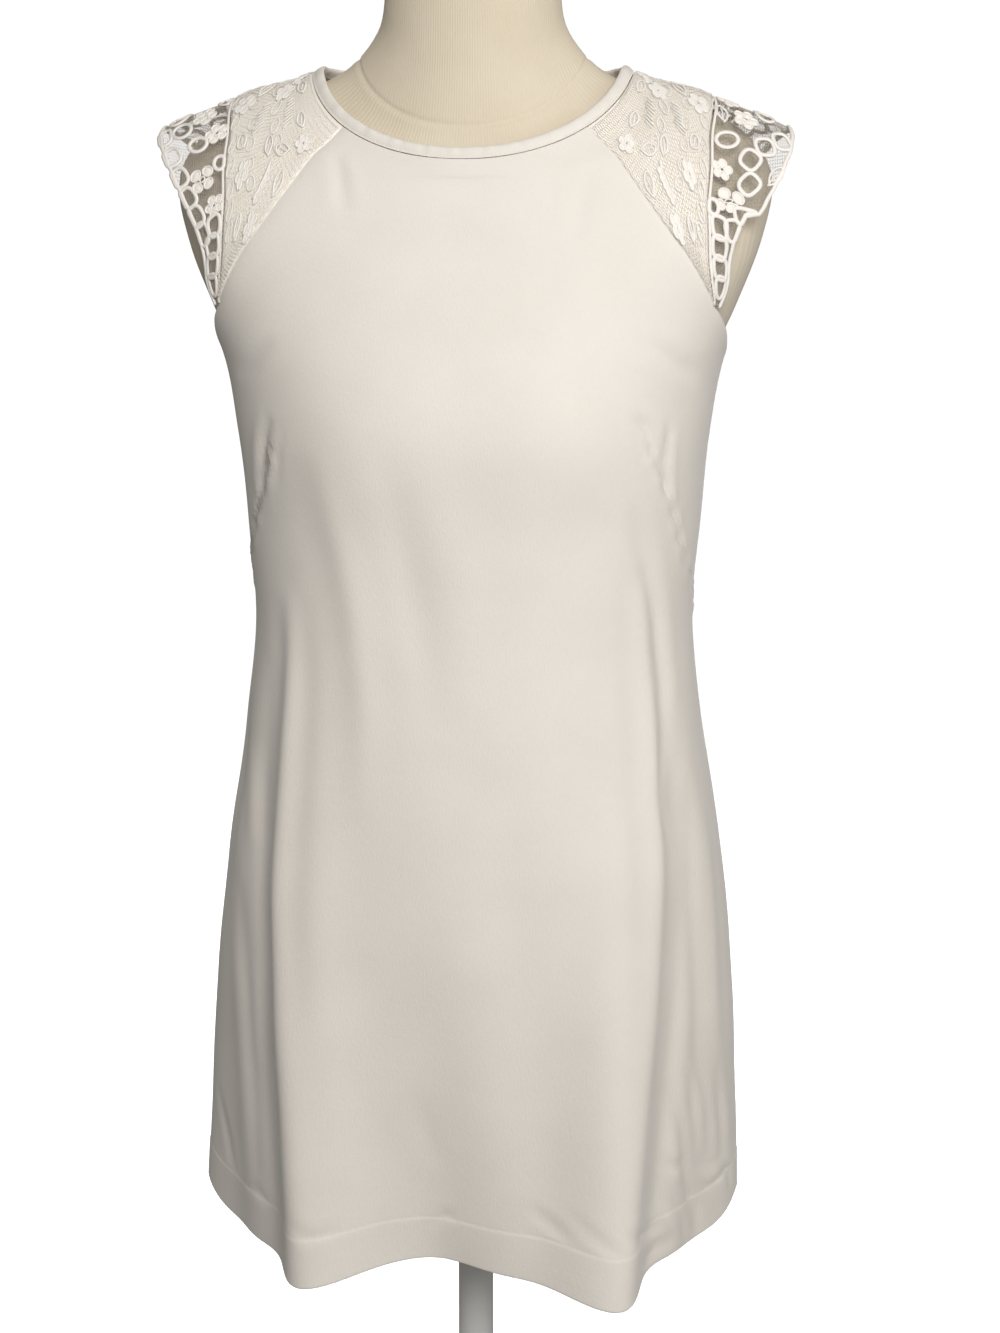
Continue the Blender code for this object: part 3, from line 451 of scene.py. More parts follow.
# Soft creases along a line of places. depth is below 0 for a trough and above 0 for a ridge.
Crease = namedtuple("Crease", "depth half_width line")
CREASES = (
    # slanting folds that fall from the bust
    Crease(-0.0023, 0.022, ((-112, 1.135), (-108.5, 1.085), (-104.5, 1.03), (-99.5, 0.975), (-94, 0.915))),
    Crease(0.0018, 0.014, ((-129, 1.12), (-126, 1.06), (-121, 1.000), (-117, 0.93), (-116, 0.85))),
    Crease(-0.0028, 0.028, ((-77, 0.891), (-74, 0.797), (-71, 0.687), (-70.5, 0.573))),
    Crease(-0.0024, 0.008, ((-40, 1.077), (-34, 1.037), (-29, 0.991), (-27.5, 0.945), (-30.5, 0.88))),
    Crease(-0.0005, 0.01, ((-102, 0.647), (-98.5, 0.615), (-94.5, 0.585))),
    # the two long ridges that end in the corners of the hem, and the hollows behind them
    Crease(0.0042, 0.0095, ((-143, 1.01), (-140, 0.931), (-136.5, 0.785), (-131.5, 0.66), (-125.5, 0.51))),
    Crease(-0.0034, 0.012, ((-151, 0.96), (-149, 0.86), (-146, 0.74), (-140.5, 0.61), (-135.5, 0.507))),
    Crease(0.004, 0.009, ((-35, 1.02), (-34, 0.93), (-36.5, 0.83), (-41.5, 0.714), (-52, 0.51))),
    Crease(-0.003, 0.011, ((-25, 0.93), (-26.5, 0.83), (-31, 0.714), (-36, 0.61), (-41.5, 0.507))),
    # short ones that fan out from the points of the darts
    Crease(-0.0024, 0.0045, ((-40, 1.142), (-37, 1.135), (-32.5, 1.115), (-29, 1.089))),
    Crease(-0.0024, 0.0042, ((-29, 1.137), (-29.5, 1.115), (-28.5, 1.093), (-27, 1.076))),
    Crease(-0.001, 0.0036, ((-41, 1.133), (-38.5, 1.122), (-34, 1.101))),
    Crease(-0.0034, 0.0058, ((-145, 1.137), (-148.5, 1.118), (-151, 1.095), (-154, 1.072))),
    Crease(-0.0009, 0.004, ((-141, 1.133), (-143, 1.112), (-145, 1.088))),
    # upright ones beside the side seams
    Crease(-0.0022, 0.008, ((-21, 0.87), (-24, 0.779), (-24, 0.701), (-25.5, 0.6))),
    Crease(0.0016, 0.008, ((-14, 0.85), (-16, 0.77), (-16.5, 0.69), (-15, 0.61))),
    Crease(-0.0012, 0.005, ((-31, 0.905), (-34.5, 0.86), (-33, 0.825))),
    Crease(0.0018, 0.009, ((-157.5, 0.891), (-149, 0.815), (-146, 0.733), (-145, 0.641))),
    Crease(-0.0024, 0.009, ((-155.5, 0.787), (-150, 0.701), (-147, 0.611), (-146, 0.535))),
    Crease(-0.0014, 0.007, ((-166, 0.94), (-163, 0.86), (-166, 0.76))),
    # pulls of the hem's stitching
    Crease(-0.001, 0.004, ((-97.5, 0.531), (-93.5, 0.544), (-90, 0.547))),
    Crease(-0.0012, 0.0038, ((-70, 0.562), (-65, 0.553), (-62, 0.546))),
    Crease(-0.001, 0.0035, ((-62, 0.565), (-57.5, 0.553), (-53, 0.543))),
    Crease(-0.0014, 0.0042, ((-53.5, 0.561), (-44, 0.539), (-37.5, 0.533))),
    Crease(-0.0014, 0.0042, ((-44.5, 0.513), (-38, 0.519), (-31, 0.517))),
    Crease(-0.0016, 0.005, ((-27, 0.556), (-22.5, 0.53), (-21, 0.507))),
    Crease(0.0012, 0.0045, ((-36, 0.548), (-31, 0.527), (-29, 0.507))),
    Crease(-0.0017, 0.005, ((-33, 0.645), (-29.5, 0.605), (-27.5, 0.565), (-24, 0.532))),
    Crease(0.0015, 0.0045, ((-26.5, 0.66), (-22, 0.612), (-20.5, 0.572))),
    Crease(-0.0018, 0.0046, ((-16.5, 0.645), (-13.5, 0.592), (-12.5, 0.548))),
    Crease(-0.0013, 0.004, ((-38.5, 0.592), (-33, 0.577), (-27.5, 0.574))),
    Crease(-0.0022, 0.0036, ((-13, 0.55), (-9.5, 0.537), (-8, 0.52))),
    Crease(0.0013, 0.004, ((-22.5, 0.56), (-17, 0.549), (-11.5, 0.553))),
    Crease(-0.0013, 0.0046, ((-168, 0.603), (-163, 0.571), (-160, 0.542))),
    Crease(-0.0009, 0.004, ((-128, 0.553), (-123, 0.542), (-118, 0.546))),
    Crease(-0.0009, 0.004, ((-152, 0.538), (-147, 0.546), (-141, 0.541))),
    # slack between neckline and armhole
    Crease(-0.001, 0.007, ((-142, 1.425), (-136.5, 1.381), (-132, 1.341))),
    Crease(-0.0007, 0.008, ((-40, 1.4), (-46, 1.355), (-50, 1.31))),
    Crease(-0.0012, 0.007, ((-160, 1.165), (-152, 1.18), (-144, 1.205))),
    Crease(-0.0012, 0.007, ((-20, 1.165), (-28, 1.182), (-37, 1.207))),
    # the same kinds on the back
    Crease(-0.0022, 0.011, ((44, 1.18), (52, 1.12), (62, 1.06), (70, 1.01))),
    Crease(-0.0018, 0.01, ((137, 1.17), (129, 1.11), (119, 1.055), (112, 1.02))),
    Crease(0.0016, 0.01, ((58, 1.012), (74, 1.000), (88, 1.003))),
    Crease(-0.0018, 0.008, ((50, 0.988), (68, 0.978), (86, 0.984))),
    Crease(0.0014, 0.009, ((93, 1.01), (108, 0.996), (124, 1.006))),
    Crease(-0.0016, 0.008, ((95, 0.984), (112, 0.972), (128, 0.982))),
    Crease(-0.0024, 0.014, ((66, 0.9), (70, 0.8), (73, 0.69), (72, 0.58))),
    Crease(-0.0018, 0.012, ((128, 0.89), (131, 0.79), (130, 0.69), (132, 0.6))),
    Crease(0.0015, 0.009, ((18, 0.88), (20, 0.78), (17, 0.68), (18, 0.6))),
    Crease(-0.0016, 0.008, ((9, 0.9), (11, 0.8), (9, 0.7))),
    Crease(-0.0015, 0.008, ((168, 0.905), (165, 0.8), (167, 0.7))),
    Crease(-0.001, 0.004, ((52, 0.556), (57, 0.543), (61, 0.54))),
    Crease(-0.001, 0.004, ((118, 0.556), (112, 0.544), (106, 0.541))),
    Crease(-0.001, 0.006, ((38, 1.385), (44, 1.34), (47, 1.3))),
    Crease(-0.001, 0.006, ((142, 1.38), (137, 1.335), (134, 1.3))),
)
DARTS = (
    ((0.5, 0.988), (-8, 1.008), (-17.5, 1.034), (-23, 1.061), (-29, 1.09), (-34, 1.11), (-37, 1.133)),
    ((-180.5, 0.988), (-170, 1.016), (-159.8, 1.049), (-153.2, 1.078), (-147.2, 1.102), (-143, 1.129)),
)

# How deep and wide the small things are that are pressed into the cloth or stand up from it. A lip is the
# low ridge beside a groove, and its place is how far from the groove it stands.
UNEVENNESS = 0.00035
CREASE_LIP = 0.3
CREASE_LIP_PLACE = 2.1
CREASE_LIP_WIDTH = 1.1
DART_DEPTH = 0.0024
DART_HALF_WIDTH = 0.0016
DART_LIP = 0.0015
DART_LIP_PLACE = 0.0045
DART_LIP_WIDTH = 0.0035
TURNUP_STEP = 0.00022
TURNUP_STEP_WIDTH = 0.0016
HEM_STITCH_DEPTH = 0.00032
HEM_STITCH_WIDTH = 0.0014
HEM_STITCH_SPACING = 0.0125
SEAM_DEPTH = 0.0007
SEAM_WIDTH = 0.0014
SEAM_LIP = 0.00025
SEAM_LIP_PLACE = 0.0065
SEAM_LIP_WIDTH = 0.0045

# Seams as places on the wearer's left, at the front. The back has the same at positive angles.
ARMHOLE = ((0, UNDERARM), (-7, 1.188), (-13.5, 1.204), (-20, 1.226))
RAGLAN = ((-20, 1.226), (-22.8, 1.245), (-27.4, 1.29), (-31.1, 1.343), (-33, NECK_LINE))

# The cloth is a grid with closer rows at the hem's fold and turn-up, and closer columns beside the seams.
ROW_HEIGHT = 0.0048
COLUMN_WIDTH = 0.0048
EDGE_STEPS = (0.0, 0.0008, 0.0018, 0.0032, 0.0055)
FOLD_STEPS = (0.0, 0.0002, 0.0006, 0.0013, 0.0024)
TURNUP_REACH = 0.003
TURNUP_ROWS = 9


def drape(angle, level):
    """How far out the folds and the fullness move the cloth, and how far up at the hem."""
    out = np.zeros(np.broadcast(angle, level).shape)
    rise = np.zeros_like(out)
    for fold in FOLDS:
        height = np.clip((level - HEM) / (fold.top - HEM), 0, 1)
        centre = fold.angle + (fold.top_angle - fold.angle) * height
        away = (angle - centre + 180) % 360 - 180
        strength = (1 - height) ** 1.5 * bell(away, fold.width)
        out += fold.depth * strength
        rise += fold.hem_rise * strength * (1 - height) ** 2
    for room in FULLNESS:
        away = (angle - room.angle + 180) % 360 - 180
        out += room.depth * bell(away, room.width) * bell(level - room.level, room.height)
    return out, rise


def cloth_points(angle, level):
    """The smooth shape of the dress at these angles and levels."""
    return ring_points(DRESS_RINGS, angle, level, *drape(angle, level))


def cloth_normals(angle, level):
    """Outward, from two short steps on the surface."""
    turn = 0.4
    climb = 0.0015
    round_body = cloth_points(angle + turn, level) - cloth_points(angle - turn, level)
    low = np.maximum(level - climb, HEM)
    high = np.minimum(level + climb, NECK_EDGE)
    normal = np.cross(round_body, cloth_points(angle, high) - cloth_points(angle, low))
    return normal / np.linalg.norm(normal, axis=-1, keepdims=True)


def near_line(angle, level, line):
    """The distance to a line of places in metres, and how far along it that is, from 0 to 1."""
    best = np.full(angle.shape, np.inf)
    share = np.zeros(angle.shape)
    for step, (start, end) in enumerate(zip(line, line[1:])):
        a = np.array(start) * (METRES_PER_DEGREE, 1)
        ahead = np.array(end) * (METRES_PER_DEGREE, 1) - a
        middle = (start[0] + end[0]) / 2
        x = (middle + (angle - middle + 180) % 360 - 180) * METRES_PER_DEGREE
        t = np.clip(((x - a[0]) * ahead[0] + (level - a[1]) * ahead[1]) / (ahead @ ahead), 0, 1)
        distance = np.hypot(x - a[0] - t * ahead[0], level - a[1] - t * ahead[1])
        share = np.where(distance < best, (step + t) / (len(line) - 1), share)
        best = np.minimum(distance, best)
    return best, share


def relief(angle, level, edge):
    """How far the creases, darts, seams and hem lift the cloth from its smooth shape. edge is the distance
    to the nearest seam."""
    lift = UNEVENNESS * np.sin(angle * 0.11 + level * 19) * np.sin(level * 43 - angle * 0.05)
    for crease in CREASES:
        distance, share = near_line(angle, level, crease.line)
        width = crease.half_width
        taper = np.sin(np.pi * np.clip(share, 0, 1)) ** 0.7
        lips = bell(distance - CREASE_LIP_PLACE * width, CREASE_LIP_WIDTH * width)
        lift += crease.depth * taper * (bell(distance, width) - CREASE_LIP * lips)
    for dart in DARTS:
        distance, share = near_line(angle, level, dart)
        taper = np.clip((1 - share) * 9, 0, 1)
        ripple = 0.65 + 0.35 * np.sin(share * 55)
        lift -= DART_DEPTH * taper * bell(distance, DART_HALF_WIDTH)
        lift += DART_LIP * taper * bell(distance - DART_LIP_PLACE, DART_LIP_WIDTH) * ripple
    above_turnup = level - HEM - HEM_TURNUP
    lift += TURNUP_STEP * (1 - np.tanh(above_turnup / TURNUP_STEP_WIDTH))
    stitches = np.sin(angle * METRES_PER_DEGREE / HEM_STITCH_SPACING * 2 * np.pi)
    pull = 0.60 + 0.40 * stitches * np.sin(angle * 0.37 + 1)
    lift -= HEM_STITCH_DEPTH * bell(above_turnup, HEM_STITCH_WIDTH) * pull
    pucker = 0.8 + 0.2 * np.sin(level * 420) * np.cos(angle * 1.9)
    lift -= SEAM_DEPTH * bell(edge, SEAM_WIDTH) * pucker
    lift += SEAM_LIP * bell(edge - SEAM_LIP_PLACE, SEAM_LIP_WIDTH) * pucker
    return lift


def smooth_line(places, steps):
    """steps + 1 places spread evenly along a smooth line through the given ones."""
    places = np.array(places, float)
    lengths = np.hypot(*(np.diff(places, axis=0) * (PANEL_METRES_PER_DEGREE, 1)).T)
    run = np.concatenate(([0.0], np.cumsum(lengths)))
    return smooth_through(run, places, np.linspace(0, run[-1], steps + 1))


def body_border():
    """The edge of a body piece: up the side seam, round the armhole and along the raglan seam."""
    fold_rows = HEM + np.array(FOLD_STEPS)
    turnup_rows = HEM + HEM_TURNUP + np.linspace(-TURNUP_REACH, TURNUP_REACH, TURNUP_ROWS)
    between = np.arange(fold_rows[-1] + 0.003, turnup_rows[0] - 0.002, ROW_HEIGHT)
    upper_rows = int((UNDERARM - turnup_rows[-1]) / ROW_HEIGHT)
    upper = np.linspace(turnup_rows[-1] + 0.003, UNDERARM, upper_rows)
    levels = np.concatenate([fold_rows, between, turnup_rows, upper[:-1]])
    side = np.stack([np.zeros(len(levels)), levels], axis=1)
    return np.concatenate([side, smooth_line(ARMHOLE, 14), smooth_line(RAGLAN, 52)[1:]])


def body_grid(border, end_angles):
    """Level rows of places from a border across to the end angles. The third number of a place is its
    distance to the nearer seam."""
    rows = []
    widths = []
    for (angle, level), end in zip(border, end_angles):
        points = cloth_points(np.linspace(angle, end, 60), np.full(60, level))
        widths.append(np.linalg.norm(np.diff(points, axis=0), axis=1).sum())
    steps = int(max(widths) / COLUMN_WIDTH)
    for (angle, level), end, width in zip(border, end_angles, widths):
        close = np.array(EDGE_STEPS) / width
        middle = np.linspace(close[-1], 1 - close[-1], steps)
        share = np.concatenate([close[:-1], middle, 1 - close[-2::-1]])
        edge = np.minimum(share, 1 - share) * width
        rows.append(np.stack([angle + (end - angle) * share, np.full(len(share), level), edge], axis=1))
    return np.array(rows)


def two_sided(name, outer, inner, faces, material, places):
    """A closed wall of cloth between two sheets of points that share the same faces."""
    count = len(outer)
    uses = dict.fromkeys((a, b) for face in faces for a, b in zip(face, face[1:] + face[:1]))
    walls = list(faces)
    walls += [tuple(count + i for i in reversed(face)) for face in faces]
    walls += [(b, a, count + a, count + b) for a, b in uses if (b, a) not in uses]
    points = np.concatenate([outer, inner])
    return add_mesh(name, points, walls, material, np.concatenate([places, places]), crease_angle=75)


def cloth_wall(name, grid, material):
    """A body piece: its outer face carries the relief, and its hem is folded up inside."""
    angle, level, edge = grid.reshape(-1, 3).T
    points = cloth_points(angle, level)
    normals = cloth_normals(angle, level)
    lift = relief(angle, level, edge)
    thickness = np.where(level <= HEM + HEM_TURNUP, HEM_THICKNESS, CREPE_THICKNESS)
    half = HEM_THICKNESS / 2 - FOLD_FLAT
    height = np.clip(level - HEM, 0, half)
    rolled = half - np.sqrt(np.maximum(half**2 - (half - height) ** 2, 0))
    outer = points + normals * (lift - rolled)[:, None]
    inner = points + normals * (lift - thickness + rolled)[:, None]
    flat = np.stack([angle * METRES_PER_DEGREE, level], axis=1)
    return two_sided(name, outer, inner, grid_quads(*grid.shape[:2]), material, flat)


# Polyester crepe: a matt cloth of hard-twisted yarns that makes a fine pebbled surface with a faint upright
# grain. The real pebble is 0.4 mm and would not show, so it is drawn at 1.3 mm. A little sheen softens the
# turn of each fold.
crepe, shader, places = finish_of(
    "ivory_crepe", roughness=0.82, sheen_weight=0.25, sheen_roughness=0.4, specular_ior_level=0.35
)
base_mix = mottled(crepe, shader, places, "#E2DBD1", "#E9E3DA", 45)
crepe_uv = node(crepe, "ShaderNodeUVMap", {}, uv_map="cloth").outputs["UV"]
upright = node(crepe, "ShaderNodeMapping", {"Vector": crepe_uv, "Scale": (1.0, 0.3, 1.0)}).outputs["Vector"]
slub = node(crepe, "ShaderNodeTexNoise", {"Vector": upright, "Scale": per_metre(1.6), "Detail": 2.0})
tones = node(crepe, "ShaderNodeMapRange", {"Value": slub.outputs["Fac"], "To Min": 0.965, "To Max": 1.02})
colours = {"Factor": 1.0, "A": base_mix.outputs["Result"], "B": tones.outputs["Result"]}
toned = node(crepe, "ShaderNodeMix", colours, data_type="RGBA", blend_type="MULTIPLY")
crepe.node_tree.links.new(toned.outputs["Result"], shader.inputs["Base Color"])
pebble = node(
    crepe, "ShaderNodeTexVoronoi", {"Vector": crepe_uv, "Scale": per_metre(1.3)}, feature="SMOOTH_F1"
)
raised = {"Height": slub.outputs["Fac"], "Distance": 0.00022, "Strength": 0.6}
weave_bump = node(crepe, "ShaderNodeBump", raised)
raised = {"Height": pebble.outputs["Distance"], "Distance": 0.00018, "Strength": 0.45}
raised["Normal"] = weave_bump.outputs["Normal"]
bump = node(crepe, "ShaderNodeBump", raised)
crepe.node_tree.links.new(bump.outputs["Normal"], shader.inputs["Normal"])

border = body_border()
front = cloth_wall("dress_front_crepe", body_grid(border, -180 - border[:, 0]), crepe)
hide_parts("dress_front")
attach(front, "root")

# -------------------------------------------------------------------------------------------------------
# The back of the dress: two pieces of the same crepe, left and right. They are joined down the middle by
# the zip, and below it by a plain seam.

left_border = border * (-1, 1)
right_border = np.stack([180 - left_border[:, 0], left_border[:, 1]], axis=1)
centre_back = np.full(len(border), 90.0)
for side, back_border in (("left", left_border), ("right", right_border)):
    piece = cloth_wall("dress_back_" + side + "_crepe", body_grid(back_border, centre_back), crepe)
    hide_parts("dress_back_" + side)
    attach(piece, "root")

# -------------------------------------------------------------------------------------------------------
# The neck binding: a narrow bias strip of the dress cloth, folded round the raw edge of the neckline and
# stitched down along its lower edge.

BINDING_LOW = NECK_LINE + 0.0006
BINDING_STITCH_LEVEL = BINDING_LOW + 0.0013
STITCH_LENGTH = 0.0026
STITCH_GAP = 0.0010
THREAD = 0.00035
BINDING_COLUMNS = 420
BINDING_MAP_SHARE = 0.6
NECK_GIRTH = 0.61
STITCH_BOW = (-0.0001, 0.0002, 0.0002, -0.0001)

# Half of the closed section, from the inside edge up round the fold and down outside: level, then lift.
BINDING_SECTION = (
    (BINDING_LOW, -0.0026),
    (BINDING_LOW + 0.0040, -0.0027),
    (NECK_EDGE - 0.0022, -0.0027),
    (NECK_EDGE - 0.0008, -0.0022),
    (NECK_EDGE - 0.0001, -0.0012),
    (NECK_EDGE - 0.0006, -0.0001),
    (NECK_EDGE - 0.0018, 0.0006),
    (NECK_EDGE - 0.0040, 0.0009),
    (BINDING_LOW + 0.0030, 0.0007),
    (BINDING_LOW + 0.0018, 0.0003),
    (BINDING_LOW + 0.0013, 0.0001),
    (BINDING_LOW + 0.0007, 0.0003),
    (BINDING_LOW, 0.0002),
)


def strip_points(angles, level, lift):
    """A line of the strip's section carried round the neck, with the slight waves of a stretched edge."""
    levels = np.full(len(angles), level)
    wave = 0.00022 * np.sin(np.radians(angles) * 37) + 0.00015 * np.sin(np.radians(angles) * 61 + 1)
    wave = wave * np.clip((level - BINDING_LOW) / 0.006, 0, 1)
    return cloth_points(angles, levels) + cloth_normals(angles, levels) * (lift + wave)[:, None]


def closed_quads(rows, columns):
    """The squares of a grid that is closed both ways."""
    count = rows * columns
    return [tuple(i % count for i in quad) for quad in grid_quads(rows + 1, columns, closed=True)]


angles = np.linspace(0, 360, BINDING_COLUMNS, endpoint=False)
points = np.concatenate([strip_points(angles, level, lift) for level, lift in BINDING_SECTION])
levels = np.repeat([level for level, _ in BINDING_SECTION], BINDING_COLUMNS)
run = np.tile(angles, len(BINDING_SECTION)) * METRES_PER_DEGREE * BINDING_MAP_SHARE
faces = closed_quads(len(BINDING_SECTION), BINDING_COLUMNS)
binding = add_mesh(
    "neck_binding_strip", points, faces, crepe, np.stack([run, levels], axis=1), crease_angle=70
)
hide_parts("neck_binding")
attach(binding, "root")


def tube(points, normals, width, height, closed, sides=6, sunk=0.5):
    """The points and faces of a flattened cord along a line. sunk is the share of its height below it."""
    if closed:
        ahead = np.roll(points, -1, axis=0) - np.roll(points, 1, axis=0)
    else:
        ahead = np.gradient(points, axis=0)
    ahead = ahead / np.maximum(np.linalg.norm(ahead, axis=1, keepdims=True), 1e-9)
    sideways = np.cross(ahead, normals)
    sideways = sideways / np.maximum(np.linalg.norm(sideways, axis=1, keepdims=True), 1e-9)
    turn = 2 * np.pi * (np.arange(sides) + 0.5) / sides
    across = sideways[:, None] * (np.cos(turn) * width / 2)[None, :, None]
    up = normals[:, None] * (np.sin(turn) * height / 2 + height * (0.5 - sunk))[None, :, None]
    rings = points[:, None] + across + up
    count = len(points)
    if closed:
        faces = closed_quads(count, sides)
    else:
        faces = grid_quads(count, sides, closed=True)
        faces.append(tuple(reversed(range(sides))))
        faces.append(tuple((count - 1) * sides + k for k in range(sides)))
    return rings.reshape(-1, 3), faces


def gathered(parts):
    """Several meshes' points and faces as one."""
    points = []
    faces = []
    first = 0
    for part_points, part_faces in parts:
        points.append(part_points)
        faces += [tuple(first + i for i in face) for face in part_faces]
        first += len(part_points)
    return np.concatenate(points), faces


# Polyester sewing thread in the dress's colour, with a slight gloss.
thread, shader, places = finish_of("sewing_thread", roughness=0.5, specular_ior_level=0.5)
mottled(thread, shader, places, "#DDD5C8", "#F1ECE3", 3)
twist = node(thread, "ShaderNodeTexNoise", {"Vector": places, "Scale": per_metre(0.5), "Detail": 1.0})
raised = {"Height": twist.outputs["Fac"], "Distance": 0.0001, "Strength": 0.5}
bump = node(thread, "ShaderNodeBump", raised)
thread.node_tree.links.new(bump.outputs["Normal"], shader.inputs["Normal"])

# Each stitch bows up between its two holes.
stitches = []
stitch_count = int(NECK_GIRTH / (STITCH_LENGTH + STITCH_GAP))
bow = np.array(STITCH_BOW)[:, None]
for number in range(stitch_count):
    middle = 360 * number / stitch_count
    half = 180 / stitch_count * STITCH_LENGTH / (STITCH_LENGTH + STITCH_GAP)
    angles = middle + np.linspace(-half, half, len(STITCH_BOW))
    levels = np.full(len(STITCH_BOW), BINDING_STITCH_LEVEL)
    normals = cloth_normals(angles, levels)
    stitches.append(tube(cloth_points(angles, levels) + normals * bow, normals, THREAD, THREAD, False))
edge_stitching = add_mesh("neck_binding_stitching", *gathered(stitches), thread)
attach(edge_stitching, "root")

# -------------------------------------------------------------------------------------------------------
# The shoulder linings: a raglan-shaped panel of plain ivory lining on each side, from the neckline to
# the armhole and from front to back in one, under the lace.

SHOULDER_END = ((-20, 1.226), (-22, 1.252), (-22.3, 1.298), (-20, 1.336), (-13, 1.374), (0, 1.39))
SHOULDER_PATCH_STEPS = (72, 34)
SHOULDER_RUN = 0.24
SHOULDER_RISE = 0.09
LINING_THICKNESS = 0.0011
LINING_SEAM_DEPTH = 0.0009
LINING_SEAM_WIDTH = 0.0015
LINING_LIP = 0.0003
LINING_LIP_PLACE = 0.006
LINING_LIP_WIDTH = 0.004

# The wearer's two sides, with the sign of X on each.
SIDES = (("left", 1), ("right", -1))


def over_shoulder(places, steps):
    """A line from the front over the shoulder to the back, from its front half."""
    half = smooth_line(places, steps // 2)
    return np.concatenate([half, half[-2::-1] * (-1, 1)])


def spanned(bottom, top, left, right):
    """A grid of places spanned by four border lines."""
    u = np.linspace(0, 1, len(bottom))[None, :, None]
    v = np.linspace(0, 1, len(left))[:, None, None]
    ruled = (1 - v) * bottom[None] + v * top[None] + (1 - u) * left[:, None] + u * right[:, None]
    return ruled - (1 - v) * ((1 - u) * bottom[0] + u * bottom[-1]) - v * ((1 - u) * top[0] + u * top[-1])


def sampled(patch, t, s):
    """The places at (t, s) of a patch, t along its columns and s up its rows, both from 0 to 1."""
    rows, columns = patch.shape[:2]
    x = np.clip(t, 0, 1) * (columns - 1)
    y = np.clip(s, 0, 1) * (rows - 1)
    i = np.minimum(x.astype(int), columns - 2)
    j = np.minimum(y.astype(int), rows - 2)
    fx = (x - i)[..., None]
    fy = (y - j)[..., None]
    low = patch[j, i] * (1 - fx) + patch[j, i + 1] * fx
    high = patch[j + 1, i] * (1 - fx) + patch[j + 1, i + 1] * fx
    return low * (1 - fy) + high * fy


columns, rows = SHOULDER_PATCH_STEPS
raglan_line = smooth_line(RAGLAN, rows)
neck_angles = np.linspace(RAGLAN[-1][0], -RAGLAN[-1][0], columns + 1)
neck_line = np.stack([neck_angles, np.full(columns + 1, NECK_LINE)], axis=1)
end_line = over_shoulder(SHOULDER_END, columns)
SHOULDER_PATCH = spanned(end_line, neck_line, raglan_line, raglan_line * (-1, 1))


def shoulder_surface(t, s):
    """Points and normals of the wearer's left shoulder, t from front to back and s up to the neck."""
    angle, level = np.moveaxis(sampled(SHOULDER_PATCH, t, s), -1, 0)
    return cloth_points(angle, level), cloth_normals(angle, level)


# Viscose lining: smooth, slightly lustrous, a fine even weave drawn at 1.2 mm for a real 0.3 mm.
lining, shader, places = finish_of("ivory_lining", roughness=0.6, sheen_weight=0.1, specular_ior_level=0.4)
mottled(lining, shader, places, "#F0E8DB", "#F7F1E7", 30)
lining_uv = node(lining, "ShaderNodeUVMap", {}, uv_map="cloth").outputs["UV"]
weave = node(lining, "ShaderNodeTexNoise", {"Vector": lining_uv, "Scale": per_metre(1.2), "Detail": 2.0})
raised = {"Height": weave.outputs["Fac"], "Distance": 0.0002, "Strength": 0.5}
bump = node(lining, "ShaderNodeBump", raised)
lining.node_tree.links.new(bump.outputs["Normal"], shader.inputs["Normal"])

t, s = [part.ravel() for part in np.meshgrid(np.linspace(0, 1, columns + 1), np.linspace(0, 1, rows + 1))]
points, normals = shoulder_surface(t, s)
edge = np.minimum(np.minimum(t, 1 - t) * SHOULDER_RUN, np.minimum(s, 1 - s) * SHOULDER_RISE)
groove = -LINING_SEAM_DEPTH * bell(edge, LINING_SEAM_WIDTH)
lift = groove + LINING_LIP * bell(edge - LINING_LIP_PLACE, LINING_LIP_WIDTH)
outer = points + normals * lift[:, None]
inner = outer - normals * LINING_THICKNESS
flat = np.stack([t * SHOULDER_RUN, s * SHOULDER_RISE], axis=1)
faces = grid_quads(rows + 1, columns + 1)
for side, sign in SIDES:
    name = "shoulder_lining_" + side + "_cloth"
    piece = two_sided(name, outer * (sign, 1, 1), inner * (sign, 1, 1), faces, lining, flat)
    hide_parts("shoulder_lining_" + side)
    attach(piece, "root")

# -------------------------------------------------------------------------------------------------------
# The lace on the shoulders: corded cotton lace laid over the lining. Thick soft cords outline petals,
# leaves and open cells on a ground of fine hexagonal net.

NET_PITCH = 0.0029
NET_THREAD = 0.00036
NET_RUN = 0.235
NET_RISE = 0.088
LACE_LIFT = 0.0009
SHOULDER_CORD_HEIGHT = 0.0009
CELL_CORD = 0.0011
CELL_CORD_HEIGHT = 0.0006
CELL_SPREAD = 0.0014
CellRow = namedtuple("CellRow", "across start end count length width lean")
SHOULDER_CELLS = (
    CellRow(0.10, 0.120, 0.880, 15, 0.0110, 0.0066, 24),
    CellRow(0.36, 0.150, 0.850, 12, 0.0110, 0.0070, -24),
    CellRow(0.64, 0.160, 0.840, 9, 0.0110, 0.0070, 24),
)

# The widths of the cords that each motif is drawn with.
PETAL_CORD = 0.0016
EYE_CORD = 0.0013
LEAF_CORD = 0.0017
RIB_CORD = 0.0012
BAR_CORD = 0.0015
BAR_SPACING = 0.0030
STEM_CORD = 0.0018
LOOP_CORD = 0.0012
LOOP_SIZE = (0.0050, 0.0038)
LOOP_AWAY = 0.0032

